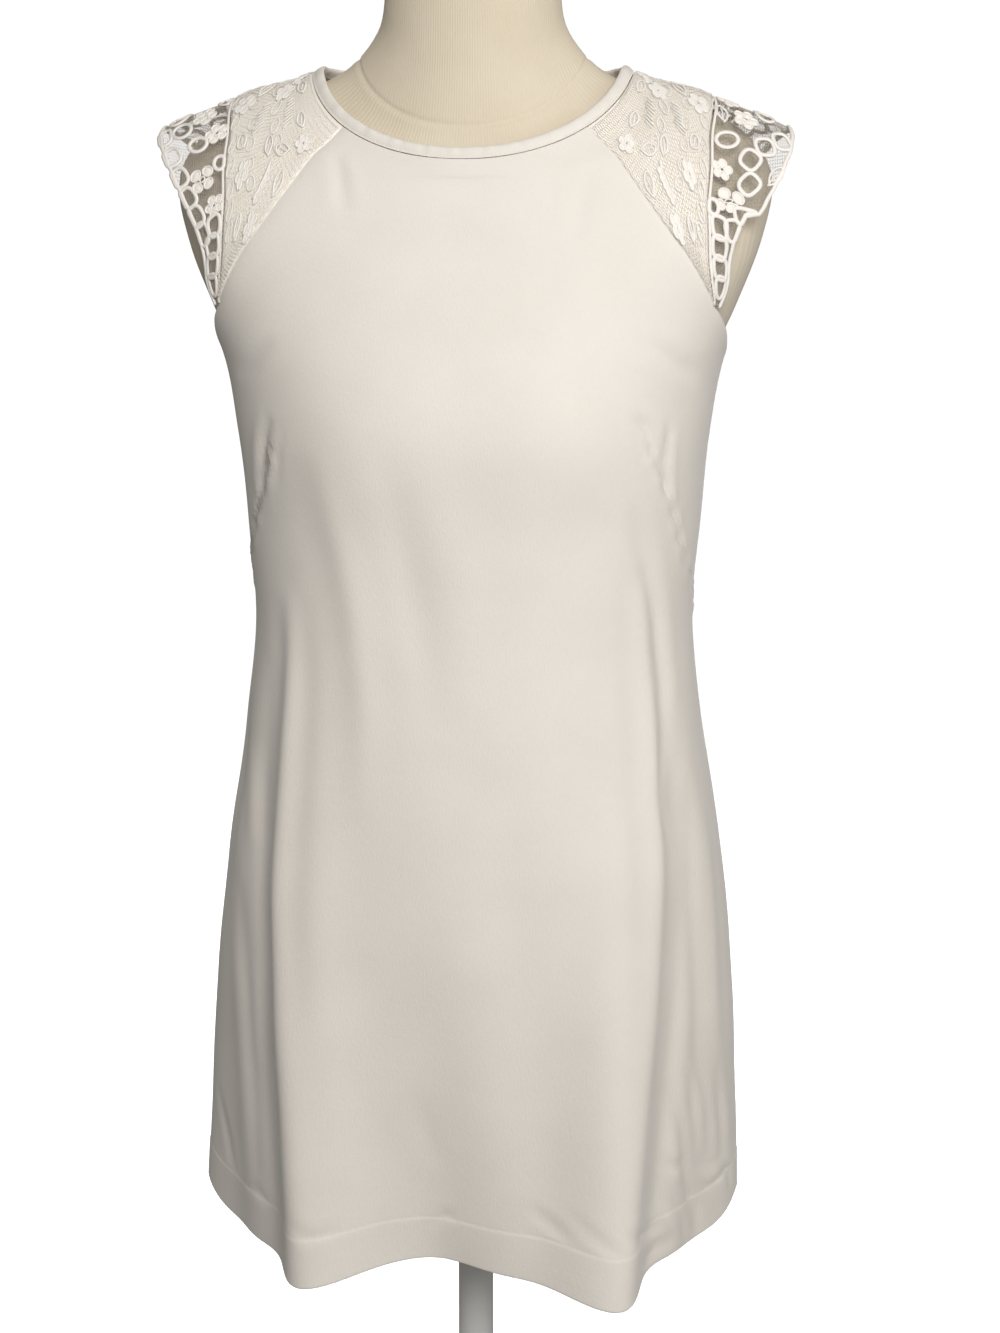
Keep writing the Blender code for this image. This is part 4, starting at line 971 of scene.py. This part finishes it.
# The front half of a shoulder; the back half is its mirror image. A flower's width is its number of petals.
Motif = namedtuple("Motif", "kind t s length width lean")
SHOULDER_MOTIFS = (
    # by the front raglan seam, then towards the armhole and the neck
    Motif("flower", 0.050, 0.330, 0.0190, 5, 10),
    Motif("leaf", 0.060, 0.560, 0.0170, 0.0085, 62),
    Motif("flower", 0.085, 0.800, 0.0150, 5, 30),
    Motif("leaf", 0.120, 0.200, 0.0160, 0.0080, 25),
    Motif("spray", 0.146, 0.460, 0.0260, 0.0110, 70),
    Motif("leaf", 0.154, 0.660, 0.0170, 0.0080, -40),
    Motif("flower", 0.240, 0.270, 0.0190, 5, 0),
    Motif("leaf", 0.225, 0.560, 0.0150, 0.0080, 15),
    Motif("comb", 0.286, 0.770, 0.0260, 0.0100, 12),
    Motif("leaf", 0.200, 0.860, 0.0150, 0.0070, 5),
    Motif("comb", 0.352, 0.470, 0.0240, 0.0110, 20),
    Motif("leaf", 0.330, 0.240, 0.0170, 0.0085, -25),
    Motif("flower", 0.400, 0.720, 0.0170, 5, 20),
    Motif("flower", 0.430, 0.230, 0.0190, 5, 45),
    Motif("leaf", 0.455, 0.480, 0.0170, 0.0085, 35),
    Motif("leaf", 0.370, 0.900, 0.0150, 0.0070, -10),
    Motif("spray", 0.490, 0.840, 0.0240, 0.0100, 15),
)


def scale_at(surface, t, s):
    """How many metres one unit of t and one of s measure at a place of a patch."""
    step = 0.01
    at, _ = surface(np.array([t, t + step, t]), np.array([s, s, s + step if s < 0.9 else s - step]))
    return np.linalg.norm(at[1] - at[0]) / step, np.linalg.norm(at[2] - at[0]) / step


def set_down(surface, centre, outline, lean=0.0):
    """An outline in metres, turned and set down on a patch round a centre place."""
    along, across = scale_at(surface, *centre)
    turn = math.radians(lean)
    u = outline[:, 0] * math.cos(turn) - outline[:, 1] * math.sin(turn)
    v = outline[:, 0] * math.sin(turn) + outline[:, 1] * math.cos(turn)
    places = np.stack([centre[0] + u / along, centre[1] + v / across], axis=1)
    return np.clip(places, 0.004, 0.996)


def oval(length, width, steps, squareness=2.0):
    """A closed outline: an ellipse for a squareness of 2, more pointed for less, squarer for more."""
    turn = np.linspace(0, 2 * np.pi, steps, endpoint=False)
    x = np.sign(np.cos(turn)) * np.abs(np.cos(turn)) ** (2 / squareness) * length / 2
    y = np.sign(np.sin(turn)) * np.abs(np.sin(turn)) ** (2 / squareness) * width / 2
    return np.stack([x, y], axis=1)


def cord_on(surface, places, width, height, closed, lift):
    """A cord laid on a surface along a line of places."""
    points, normals = surface(places[:, 0], places[:, 1])
    return tube(points + normals * lift, normals, width, height, closed, sunk=0.0)


def pad_on(surface, places, height, lift):
    """A low padded shape inside an outline of places, domed towards its middle."""
    count = len(places)
    middle = places.mean(axis=0)
    inner = middle + (places - middle) * 0.55
    every = np.concatenate([places, inner, [middle]])
    points, normals = surface(every[:, 0], every[:, 1])
    up = np.concatenate([np.full(count, 0.25), np.full(count, 0.9), [1.0]]) * height + lift
    top = points + normals * up[:, None]
    under = points[:count] + normals[:count] * lift
    faces = []
    for i in range(count):
        j = (i + 1) % count
        faces += [(i, j, count + j, count + i), (count + i, count + j, 2 * count)]
        faces += [(2 * count + 1 + j, 2 * count + 1 + i, i, j)[::-1]]
    faces.append(tuple(2 * count + 1 + i for i in reversed(range(count))))
    return np.concatenate([top, under]), faces


def flower(surface, motif, lift, height):
    """A round flower: broad padded petals with corded rims about a small open eye."""
    parts = []
    centre = (motif.t, motif.s)
    size = motif.length
    petals = motif.width
    breadth = 0.40 if petals < 5 else 0.33
    for petal in range(petals):
        turn = motif.lean + 360 * petal / petals
        shape = oval(size * 0.32, size * breadth, 14) + (size * 0.31, 0)
        places = set_down(surface, centre, shape, turn)
        parts.append(pad_on(surface, places, height * 0.8, lift))
        parts.append(cord_on(surface, places, PETAL_CORD, height, True, lift))
    eye = set_down(surface, centre, oval(size * 0.20, size * 0.20, 10))
    parts.append(cord_on(surface, eye, EYE_CORD, height, True, lift))
    return parts


def leaf(surface, motif, lift, height):
    """A corded leaf outline with a cord for its middle rib."""
    run = np.linspace(-1, 1, 13)
    bend = 0.0008
    curve = (1 - run**2) * motif.width / 2
    top = np.stack([run * motif.length / 2, curve + bend * run], axis=1)
    outline = np.concatenate([top, top[-2:0:-1] * (1, -1)])
    rib = np.stack([run[1:-1] * motif.length / 2.4, bend * np.sin(run[1:-1] * 3)], axis=1)
    outline = set_down(surface, (motif.t, motif.s), outline, motif.lean)
    rib = set_down(surface, (motif.t, motif.s), rib, motif.lean)
    return [
        cord_on(surface, outline, LEAF_CORD, height, True, lift),
        cord_on(surface, rib, RIB_CORD, height * 0.8, False, lift),
    ]


def comb(surface, motif, lift, height):
    """A row of short slanting bars."""
    parts = []
    bars = int(motif.length / BAR_SPACING)
    for number in range(bars):
        x = (number + 0.5) / bars * motif.length - motif.length / 2
        tall = motif.width * (0.75 + 0.25 * math.sin(number * 1.7))
        bar = np.stack([np.linspace(-0.15, 0.15, 5) * tall + x, np.linspace(-0.5, 0.5, 5) * tall], axis=1)
        places = set_down(surface, (motif.t, motif.s), bar, motif.lean)
        parts.append(cord_on(surface, places, BAR_CORD, height, False, lift))
    return parts


def spray(surface, motif, lift, height):
    """A curved stem with a row of small rounded loops along it."""
    run = np.linspace(-0.5, 0.5, 17)
    stem = np.stack([run * motif.length, 0.8 * motif.width * (0.25 - run**2)], axis=1)
    centre = (motif.t, motif.s)
    stem_places = set_down(surface, centre, stem, motif.lean)
    parts = [cord_on(surface, stem_places, STEM_CORD, height, False, lift)]
    for number in range(1, 16, 3):
        shape = oval(*LOOP_SIZE, 10) + stem[number] + (0, LOOP_AWAY)
        places = set_down(surface, centre, shape, motif.lean)
        parts.append(pad_on(surface, places, height * 0.7, lift))
        parts.append(cord_on(surface, places, LOOP_CORD, height * 0.9, True, lift))
    return parts


MOTIF_KINDS = {"flower": flower, "leaf": leaf, "comb": comb, "spray": spray}


def motif_parts(surface, motifs, lift, height):
    """Every motif on both halves of a patch, the back half mirrored from the front."""
    parts = []
    for motif in motifs:
        for placed in (motif, motif._replace(t=1 - motif.t, lean=-motif.lean)):
            parts += MOTIF_KINDS[motif.kind](surface, placed, lift, height)
    return parts


# A thread of the net is a three-sided prism: its faces, by corner.
PRISM = ((0, 1, 4, 3), (1, 2, 5, 4), (2, 0, 3, 5), (0, 2, 1), (3, 4, 5))


def net_on(surface, length, width_at, pitch, thread_width, lift, flatness=1.0):
    """Fine hexagonal net over a whole patch. width_at gives the patch's width in metres along t, and
    flatness is the threads' height over their width."""
    side = pitch / math.sqrt(3)
    columns = int(length / pitch)
    ends = []
    height = max(width_at(np.linspace(0, 1, 41)))
    for row in range(-1, int(height / (1.5 * side)) + 2):
        y = row * 1.5 * side
        shift = 0.5 * pitch * (row % 2)
        for column in range(-1, columns + 1):
            x = column * pitch + shift
            a = (x, y + side / 2)
            b = (x + pitch / 2, y + side)
            c = (x + pitch, y + side / 2)
            ends += [(a, b), (b, c), (a, (x, y - side / 2))]
    ends = np.array(ends)
    t = ends[..., 0] / length
    s = ends[..., 1] / np.maximum(width_at(np.clip(t, 0, 1)), 1e-4)
    kept = ((t > 0.0) & (t < 1.0) & (s > 0.0) & (s < 1.0)).all(axis=1)
    t, s = t[kept], s[kept]
    points, normals = surface(t.ravel(), s.ravel())
    points = (points + normals * lift).reshape(-1, 2, 3)
    normals = normals.reshape(-1, 2, 3)
    ahead = points[:, 1] - points[:, 0]
    ahead /= np.linalg.norm(ahead, axis=1, keepdims=True)
    sideways = np.cross(ahead, normals.mean(axis=1))
    sideways /= np.linalg.norm(sideways, axis=1, keepdims=True)
    corners = []
    for turn in (90, 210, 330):
        turn = math.radians(turn)
        offset = sideways[:, None] * math.cos(turn) + normals * math.sin(turn) * flatness
        corners.append(points + offset * thread_width / 2)
    corners = np.stack(corners, axis=2).reshape(-1, 3)
    firsts = range(0, len(corners), 6)
    return corners, [tuple(first + i for i in face) for first in firsts for face in PRISM]


# Cotton lace: matt cream cords of many fine yarns, wound so that their slanting turns show, brighter than
# the net.
lace, shader, places = finish_of(
    "corded_cotton_lace", roughness=0.72, sheen_weight=0.2, sheen_roughness=0.4
)
mottled(lace, shader, places, "#EFE8DE", "#F8F4EE", 12)
yarns = node(lace, "ShaderNodeTexNoise", {"Vector": places, "Scale": per_metre(0.7), "Detail": 3.0})
raised = {"Height": yarns.outputs["Fac"], "Distance": 0.0003, "Strength": 0.6}
bump = node(lace, "ShaderNodeBump", raised)
lace.node_tree.links.new(bump.outputs["Normal"], shader.inputs["Normal"])


def even_width(t):
    """The width of the shoulder's net, the same all along it."""
    return np.full(np.shape(t), NET_RISE)


parts = [net_on(shoulder_surface, NET_RUN, even_width, NET_PITCH, NET_THREAD, LACE_LIFT)]
for row in SHOULDER_CELLS:
    shape = oval(row.length + CELL_SPREAD, row.width + CELL_SPREAD, 14, 1.7)
    for number in range(row.count):
        t = row.start + (row.end - row.start) * (number + 0.5) / row.count
        places = set_down(shoulder_surface, (t, row.across), shape, row.lean)
        parts.append(cord_on(shoulder_surface, places, CELL_CORD, CELL_CORD_HEIGHT, True, LACE_LIFT))
parts += motif_parts(shoulder_surface, SHOULDER_MOTIFS, LACE_LIFT, SHOULDER_CORD_HEIGHT)
points, faces = gathered(parts)
for side, sign in SIDES:
    piece = add_mesh("shoulder_lace_" + side + "_cords", points * (sign, 1, 1), faces, lace)
    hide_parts("shoulder_lace_" + side)
    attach(piece, "root")

# -------------------------------------------------------------------------------------------------------
# The cap sleeves: the same lace with nothing under it, so that the form shows through its net. A ladder
# of open cells runs along the free edge.

SLEEVE_EDGE = ((-18.4, 1.2225), (-17.7, 1.238), (-18.4, 1.262), (-17, 1.298), (-10.5, 1.332), (0, 1.347))
SLEEVE_FLARE = 0.020
SLEEVE_MARGIN = 0.03
SLEEVE_STEPS = 80
SLEEVE_CORD = 0.0035
SLEEVE_CORD_HEIGHT = 0.0018
SLEEVE_NET_PITCH = 0.0021
SLEEVE_NET_THREAD = 0.00062
SLEEVE_NET_FLATNESS = 0.3
SLEEVE_LIFT = -0.0006
EDGE_CORD = (0.0034, 0.0019)
SEAM_CORD = (0.0022, 0.0013)
EDGE_SCALLOPS = 24

# The front half of each sleeve; the back half is its mirror image. The two sleeves are cut from different
# parts of the lace, so their patterns differ.
SLEEVE_MOTIFS_RIGHT = (
    Motif("cell", 0.052, 0.50, 0.0120, 0.0055, 3),
    Motif("cell", 0.103, 0.49, 0.0132, 0.0085, 2),
    Motif("cell", 0.153, 0.42, 0.0128, 0.0088, 4),
    Motif("cell", 0.200, 0.30, 0.0118, 0.0072, 8),
    Motif("cell", 0.196, 0.80, 0.0128, 0.0070, 12),
    Motif("cell", 0.244, 0.84, 0.0122, 0.0080, 14),
    Motif("cell", 0.291, 0.87, 0.0120, 0.0085, 14),
    Motif("cell", 0.338, 0.88, 0.0122, 0.0090, 12),
    Motif("flower", 0.246, 0.27, 0.0165, 5, 20),
    Motif("flower", 0.312, 0.47, 0.0215, 4, 42),
    Motif("ring", 0.330, 0.10, 0.0085, 0.0050, 20),
    Motif("cell", 0.386, 0.88, 0.0125, 0.0100, 8),
    Motif("ring", 0.388, 0.46, 0.0110, 0.0090, 60),
    Motif("flower", 0.398, 0.18, 0.0190, 5, 10),
    Motif("ring", 0.436, 0.66, 0.0125, 0.0105, 40),
    Motif("cell", 0.440, 0.91, 0.0135, 0.0075, 4),
    Motif("flower", 0.452, 0.36, 0.0200, 5, -30),
    Motif("ring", 0.486, 0.74, 0.0125, 0.0110, 0),
    Motif("leaf", 0.487, 0.15, 0.0200, 0.0100, 30),
)
SLEEVE_MOTIFS_LEFT = (
    Motif("cell", 0.052, 0.50, 0.0120, 0.0055, 3),
    Motif("cell", 0.103, 0.49, 0.0132, 0.0085, 2),
    Motif("cell", 0.153, 0.42, 0.0128, 0.0085, 0),
    Motif("cell", 0.200, 0.36, 0.0120, 0.0085, -8),
    Motif("cell", 0.210, 0.82, 0.0110, 0.0085, -28),
    Motif("cell", 0.254, 0.90, 0.0105, 0.0075, -34),
    Motif("flower", 0.268, 0.42, 0.0215, 4, 35),
    Motif("ring", 0.240, 0.12, 0.0075, 0.0050, 10),
    Motif("flower", 0.322, 0.17, 0.0165, 5, 0),
    Motif("cell", 0.318, 0.62, 0.0130, 0.0095, 24),
    Motif("cell", 0.364, 0.53, 0.0125, 0.0100, 18),
    Motif("cell", 0.402, 0.66, 0.0110, 0.0105, -30),
    Motif("cell", 0.430, 0.84, 0.0110, 0.0100, -34),
    Motif("ring", 0.386, 0.20, 0.0150, 0.0090, 50),
    Motif("flower", 0.446, 0.38, 0.0200, 5, 15),
    Motif("leaf", 0.356, 0.92, 0.0190, 0.0080, 12),
    Motif("ring", 0.484, 0.64, 0.0125, 0.0095, 30),
    Motif("leaf", 0.440, 0.10, 0.0170, 0.0080, -20),
    Motif("flower", 0.494, 0.20, 0.0175, 5, 40),
)

# The wearer's left sleeve is wider from here to its tip, and its edge steps out in a small flap.
FLAP_START = 0.262
FLAP_END = 0.50
FLAP_STEP = 0.012
FLAP_DEPTH = 0.30

seam_line = over_shoulder(SHOULDER_END, SLEEVE_STEPS)
free_line = over_shoulder(SLEEVE_EDGE, SLEEVE_STEPS)
share = np.linspace(0, 1, 9)[:, None, None]
SLEEVE_PATCH = seam_line[None] * (1 - share) + free_line[None] * share


def sleeve_points(t, s):
    """Points of a sleeve on the wearer's left, t from front to back and s from its seam to its edge, past
    which it runs straight on, and the normals of the body under them."""
    t = np.clip(t, 0, 1)
    past = np.clip(s - 1, 0, 0.5)[..., None]
    s = np.clip(s, 0, 1)
    angle, level = np.moveaxis(sampled(SLEEVE_PATCH, t, SLEEVE_MARGIN + (1 - SLEEVE_MARGIN) * s), -1, 0)
    flare = SLEEVE_FLARE * s**1.3 * np.sin(np.pi * t) ** 4
    turn = np.radians(angle)
    away = np.stack([np.cos(turn), np.sin(turn), np.zeros_like(turn)], axis=-1)
    points = cloth_points(angle, level) + away * flare[..., None]
    if past.any():
        edge = sleeve_points(t, np.ones_like(s))[0]
        before_edge = sleeve_points(t, np.full_like(s, 0.9))[0]
        points = points + (edge - before_edge) * past * 10
    return points, cloth_normals(angle, level)


def sleeve_surface(t, s):
    """Points and normals of a sleeve with a plain edge, on the wearer's left."""
    points, body_normals = sleeve_points(t, s)
    along = sleeve_points(t + 0.006, s)[0] - sleeve_points(t - 0.006, s)[0]
    across = sleeve_points(t, s + 0.02)[0] - sleeve_points(t, s - 0.02)[0]
    normals = np.cross(along, across)
    normals *= np.sign((normals * body_normals).sum(axis=-1, keepdims=True))
    return points, normals / np.maximum(np.linalg.norm(normals, axis=-1, keepdims=True), 1e-9)


def flapped_surface(t, s):
    """The wearer's left sleeve, with the step in its edge."""
    step = np.clip((t - FLAP_START) / FLAP_STEP, 0, 1)
    step = step * np.clip((FLAP_END - t) / (FLAP_END - FLAP_START), 0, 1)
    return sleeve_surface(t, s * (1 + FLAP_DEPTH * step))


sleeve_t = np.linspace(0, 1, 61)
inner_edge = sleeve_points(sleeve_t, np.zeros(61))[0]
outer_edge = sleeve_points(sleeve_t, np.ones(61))[0]
sleeve_widths = np.linalg.norm(outer_edge - inner_edge, axis=1)
SLEEVE_RUN = np.linalg.norm(np.diff(outer_edge, axis=0), axis=1).sum()


def sleeve_width(t):
    """A sleeve's width from its seam to its edge."""
    return np.interp(t, sleeve_t, sleeve_widths)


def eyelet(surface, motif, lift, height):
    """An open cell or ring outlined by a thick cord; a cell is the squarer one."""
    squareness = 2.9 if motif.kind == "cell" else 2.0
    shape = oval(motif.length + SLEEVE_CORD, motif.width + SLEEVE_CORD, 22, squareness)
    places = set_down(surface, (motif.t, motif.s), shape, motif.lean)
    return [cord_on(surface, places, SLEEVE_CORD, height, True, lift)]


MOTIF_KINDS.update(cell=eyelet, ring=eyelet)


def sleeve_parts(surface, motifs):
    """The whole lace of a sleeve: first its net, then the cords of its edge and seam, and its motifs."""
    t = np.linspace(0.002, 0.998, 180)
    free_edge = np.stack([t, 0.975 - 0.012 * np.abs(np.sin(np.pi * EDGE_SCALLOPS * t))], axis=1)
    seam = np.stack([t, np.full(180, 0.015)], axis=1)
    net = (SLEEVE_RUN, sleeve_width, SLEEVE_NET_PITCH, SLEEVE_NET_THREAD, SLEEVE_LIFT, SLEEVE_NET_FLATNESS)
    parts = [
        net_on(surface, *net),
        cord_on(surface, free_edge, *EDGE_CORD, False, SLEEVE_LIFT),
        cord_on(surface, seam, *SEAM_CORD, False, SLEEVE_LIFT),
    ]
    return parts + motif_parts(surface, motifs, SLEEVE_LIFT, SLEEVE_CORD_HEIGHT)


# The net's yarns are coloured darker, greyer and browner than the wound cords: painted shade, for the shade
# that falls in the fine net.
net_painted_shade, shader, places = finish_of("cotton_net_painted_shade", roughness=0.8)
mottled(net_painted_shade, shader, places, "#BDB3A6", "#CCC3B7", 9)

sleeves = ((flapped_surface, SLEEVE_MOTIFS_LEFT), (sleeve_surface, SLEEVE_MOTIFS_RIGHT))
for (side, sign), (surface, motifs) in zip(SIDES, sleeves):
    parts = sleeve_parts(surface, motifs)
    points, faces = gathered(parts)
    piece = add_mesh("cap_sleeve_" + side + "_lace", points * (sign, 1, 1), faces, lace)
    # The net's faces take the darker material with the painted shade.
    piece.data.materials.append(net_painted_shade)
    for polygon in piece.data.polygons[: len(parts[0][1])]:
        polygon.material_index = 1
    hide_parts("cap_sleeve_" + side)
    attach(piece, "root")

# -------------------------------------------------------------------------------------------------------
# The zip: two woven tapes with a nylon coil behind the centre-back seam, a slider of enamelled zinc and its
# drop-shaped pull tab, which swings on the slider.

# Woven polyester tape: ribbed along its length.
tape, shader, places = finish_of("zip_tape_weave", roughness=0.8)
mottled(tape, shader, places, "#DED6C8", "#E9E2D6", 10)
across = {"Vector": places, "Scale": per_metre(1.0) / RIDGE_FACTOR}
ribs = node(tape, "ShaderNodeTexWave", across, bands_direction="X")
raised = {"Height": ribs.outputs["Fac"], "Distance": 0.0002, "Strength": 0.6}
bump = node(tape, "ShaderNodeBump", raised)
tape.node_tree.links.new(bump.outputs["Normal"], shader.inputs["Normal"])

# Enamelled zinc: a hard smooth coat in the dress's ivory, a little orange-peeled.
enamel, shader, places = finish_of("enamelled_zinc", roughness=0.3, coat_weight=0.4, coat_roughness=0.15)
mottled(enamel, shader, places, "#DAD1C2", "#E8E1D5", 6)
peel = node(enamel, "ShaderNodeTexNoise", {"Vector": places, "Scale": per_metre(1.0), "Detail": 1.0})
raised = {"Height": peel.outputs["Fac"], "Distance": 0.00005, "Strength": 0.4}
bump = node(enamel, "ShaderNodeBump", raised)
enamel.node_tree.links.new(bump.outputs["Normal"], shader.inputs["Normal"])

for name in ("zip_slider", "zip_pull_tab"):
    part = bpy.data.objects[name]
    part.data.materials.clear()
    part.data.materials.append(enamel)

# Both tapes run from the foot of the opening to the neck binding, their inner edges at the seam.
TAPE_LOW = 0.862
TAPE_HIGH = 1.4485
TAPE_WIDTH = 0.012
TAPE_THICKNESS = 0.0007
TAPE_BEHIND = 0.0023
TAPE_COLUMNS = 5
TAPE_GAP_DEGREES = 0.12
TAPE_ROWS = 110

tape_levels = np.linspace(TAPE_LOW, TAPE_HIGH, TAPE_ROWS)
tape_angle = np.degrees(TAPE_WIDTH / ring_value(DRESS_RINGS, "back", tape_levels))
share = np.linspace(0, 1, TAPE_COLUMNS)[None]
level = np.repeat(tape_levels[:, None], TAPE_COLUMNS, axis=1)
faces = grid_quads(TAPE_ROWS, TAPE_COLUMNS)
for side, sign in SIDES:
    angle = 90 - sign * (tape_angle[:, None] * share + TAPE_GAP_DEGREES)
    normals = cloth_normals(angle, level).reshape(-1, 3)
    points = cloth_points(angle, level).reshape(-1, 3)
    outer = points - normals * TAPE_BEHIND
    inner = points - normals * (TAPE_BEHIND + TAPE_THICKNESS)
    flat = np.stack([(angle * METRES_PER_DEGREE).ravel(), level.ravel()], axis=1)
    web = two_sided("zip_tape_" + side + "_web", outer, inner, faces, tape, flat)
    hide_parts("zip_tape_" + side)
    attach(web, "root")

# The coil of a concealed zip: a wound nylon line whose turns from both tapes mesh behind the seam, inside
# the dress. A turn reaches from its tape to a little past the seam, and climbs as it goes.
COIL_PITCH = 0.0014
COIL_REACH = 0.0021
COIL_PAST = 0.28
COIL_CLIMB = 0.25
COIL_STEPS = 5
COIL_LINE = 0.00062
COIL_BEHIND = TAPE_BEHIND + TAPE_THICKNESS + 0.0007
nylon, shader, places = finish_of("zip_coil_nylon", roughness=0.45)
mottled(nylon, shader, places, "#E6DECF", "#EFE9DD", 5)

turns = []
for number, level in enumerate(np.arange(TAPE_LOW + 0.004, TAPE_HIGH - 0.006, COIL_PITCH / 2)):
    sign = 1 if number % 2 else -1
    reach = math.degrees(COIL_REACH / ring_value(DRESS_RINGS, "back", level))
    angle = 90 - sign * np.linspace(-COIL_PAST, 1.0, COIL_STEPS) * reach
    levels = level + np.linspace(0, COIL_CLIMB, COIL_STEPS) * COIL_PITCH
    normals = cloth_normals(angle, levels)
    points = cloth_points(angle, levels) - normals * COIL_BEHIND
    turns.append(tube(points, normals, COIL_LINE, COIL_LINE, False))
coil = add_mesh("zip_coil", *gathered(turns), nylon)
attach(coil, "root")

# -------------------------------------------------------------------------------------------------------
# The studio: a round white floor whose rim sweeps up into a backdrop on every side, one large soft light
# in front, a weaker one behind and a little fill.

CAMERA_PLACE = (0.185, -1.760, 1.323)
CAMERA_AZIMUTH = 6.0
LENS_MM = 85.0
FILM_WIDTH_MM = 36
# How far the middle of the photograph lies to the right of and below the point that is level with the
# camera and straight ahead, and the lens's length, all in its pixels.
AIM_RIGHT_PIXELS = 26
AIM_DOWN_PIXELS = 516
LENS_PIXELS = 2361
SWEEP = ((0.5, 0.0), (7.6, 0.0), (8.4, 0.12), (8.9, 0.5), (9.1, 1.1), (9.1, 6.0))
SWEEP_STEPS = 72

light = {"emission_color": linear("#FFFFFF"), "emission_strength": 0.85}
paper, _, _ = finish_of("white_paper", roughness=0.9, base_color=linear("#F4F4F3"), **light)
sweep_turn = np.linspace(0, 2 * np.pi, SWEEP_STEPS, endpoint=False)
points = [(r * math.cos(a), r * math.sin(a), z - 0.001) for r, z in SWEEP for a in sweep_turn]
faces = [tuple(reversed(face)) for face in grid_quads(len(SWEEP), SWEEP_STEPS, closed=True)]
faces.append(tuple(range(SWEEP_STEPS)))
sweep = add_mesh("studio_sweep", points, faces, paper, outward=False)
sweep.visible_diffuse = False
sweep.visible_glossy = False


def soft_light(name, place, target, size, power):
    """A rectangular light that is turned towards its target."""
    lamp = bpy.data.lights.new(name, "AREA")
    lamp.shape = "RECTANGLE"
    lamp.size, lamp.size_y = size
    lamp.energy = power
    made = bpy.data.objects.new(name, lamp)
    made.location = place
    made.rotation_euler = (Vector(target) - Vector(place)).to_track_quat("-Z", "Y").to_euler()
    bpy.context.scene.collection.objects.link(made)


soft_light("front_softbox", (0.60, -2.2, 2.15), (0, 0, 1.15), (1.0, 1.1), 50)
soft_light("back_softbox", (-0.50, 2.7, 2.0), (0, 0, 1.1), (1.2, 1.2), 42)
soft_light("right_fill", (1.7, -0.9, 1.5), (0, 0, 0.9), (0.8, 1.4), 5.5)

world = bpy.data.worlds.new("studio_air")
bpy.context.scene.world = world
world.use_nodes = True
world.node_tree.nodes["Background"].inputs["Color"].default_value = linear("#FBF8F4")
world.node_tree.nodes["Background"].inputs["Strength"].default_value = 0.20

turn = math.radians(CAMERA_AZIMUTH)
straight = Vector((-math.sin(turn), math.cos(turn), 0))
rightward = Vector((math.cos(turn), math.sin(turn), 0))
yaw = math.atan(AIM_RIGHT_PIXELS / LENS_PIXELS)
tilt = math.atan(AIM_DOWN_PIXELS / LENS_PIXELS)
level_view = straight * math.cos(yaw) + rightward * math.sin(yaw)
look = level_view * math.cos(tilt) - Vector((0, 0, math.sin(tilt)))
camera = bpy.data.cameras.new("camera")
camera.lens = LENS_MM
camera.sensor_width = FILM_WIDTH_MM
camera.sensor_fit = "HORIZONTAL"
eye = bpy.data.objects.new("camera", camera)
eye.location = CAMERA_PLACE
eye.rotation_euler = look.to_track_quat("-Z", "Y").to_euler()
bpy.context.scene.collection.objects.link(eye)
bpy.context.scene.camera = eye
bpy.context.scene.view_settings.view_transform = "Standard"
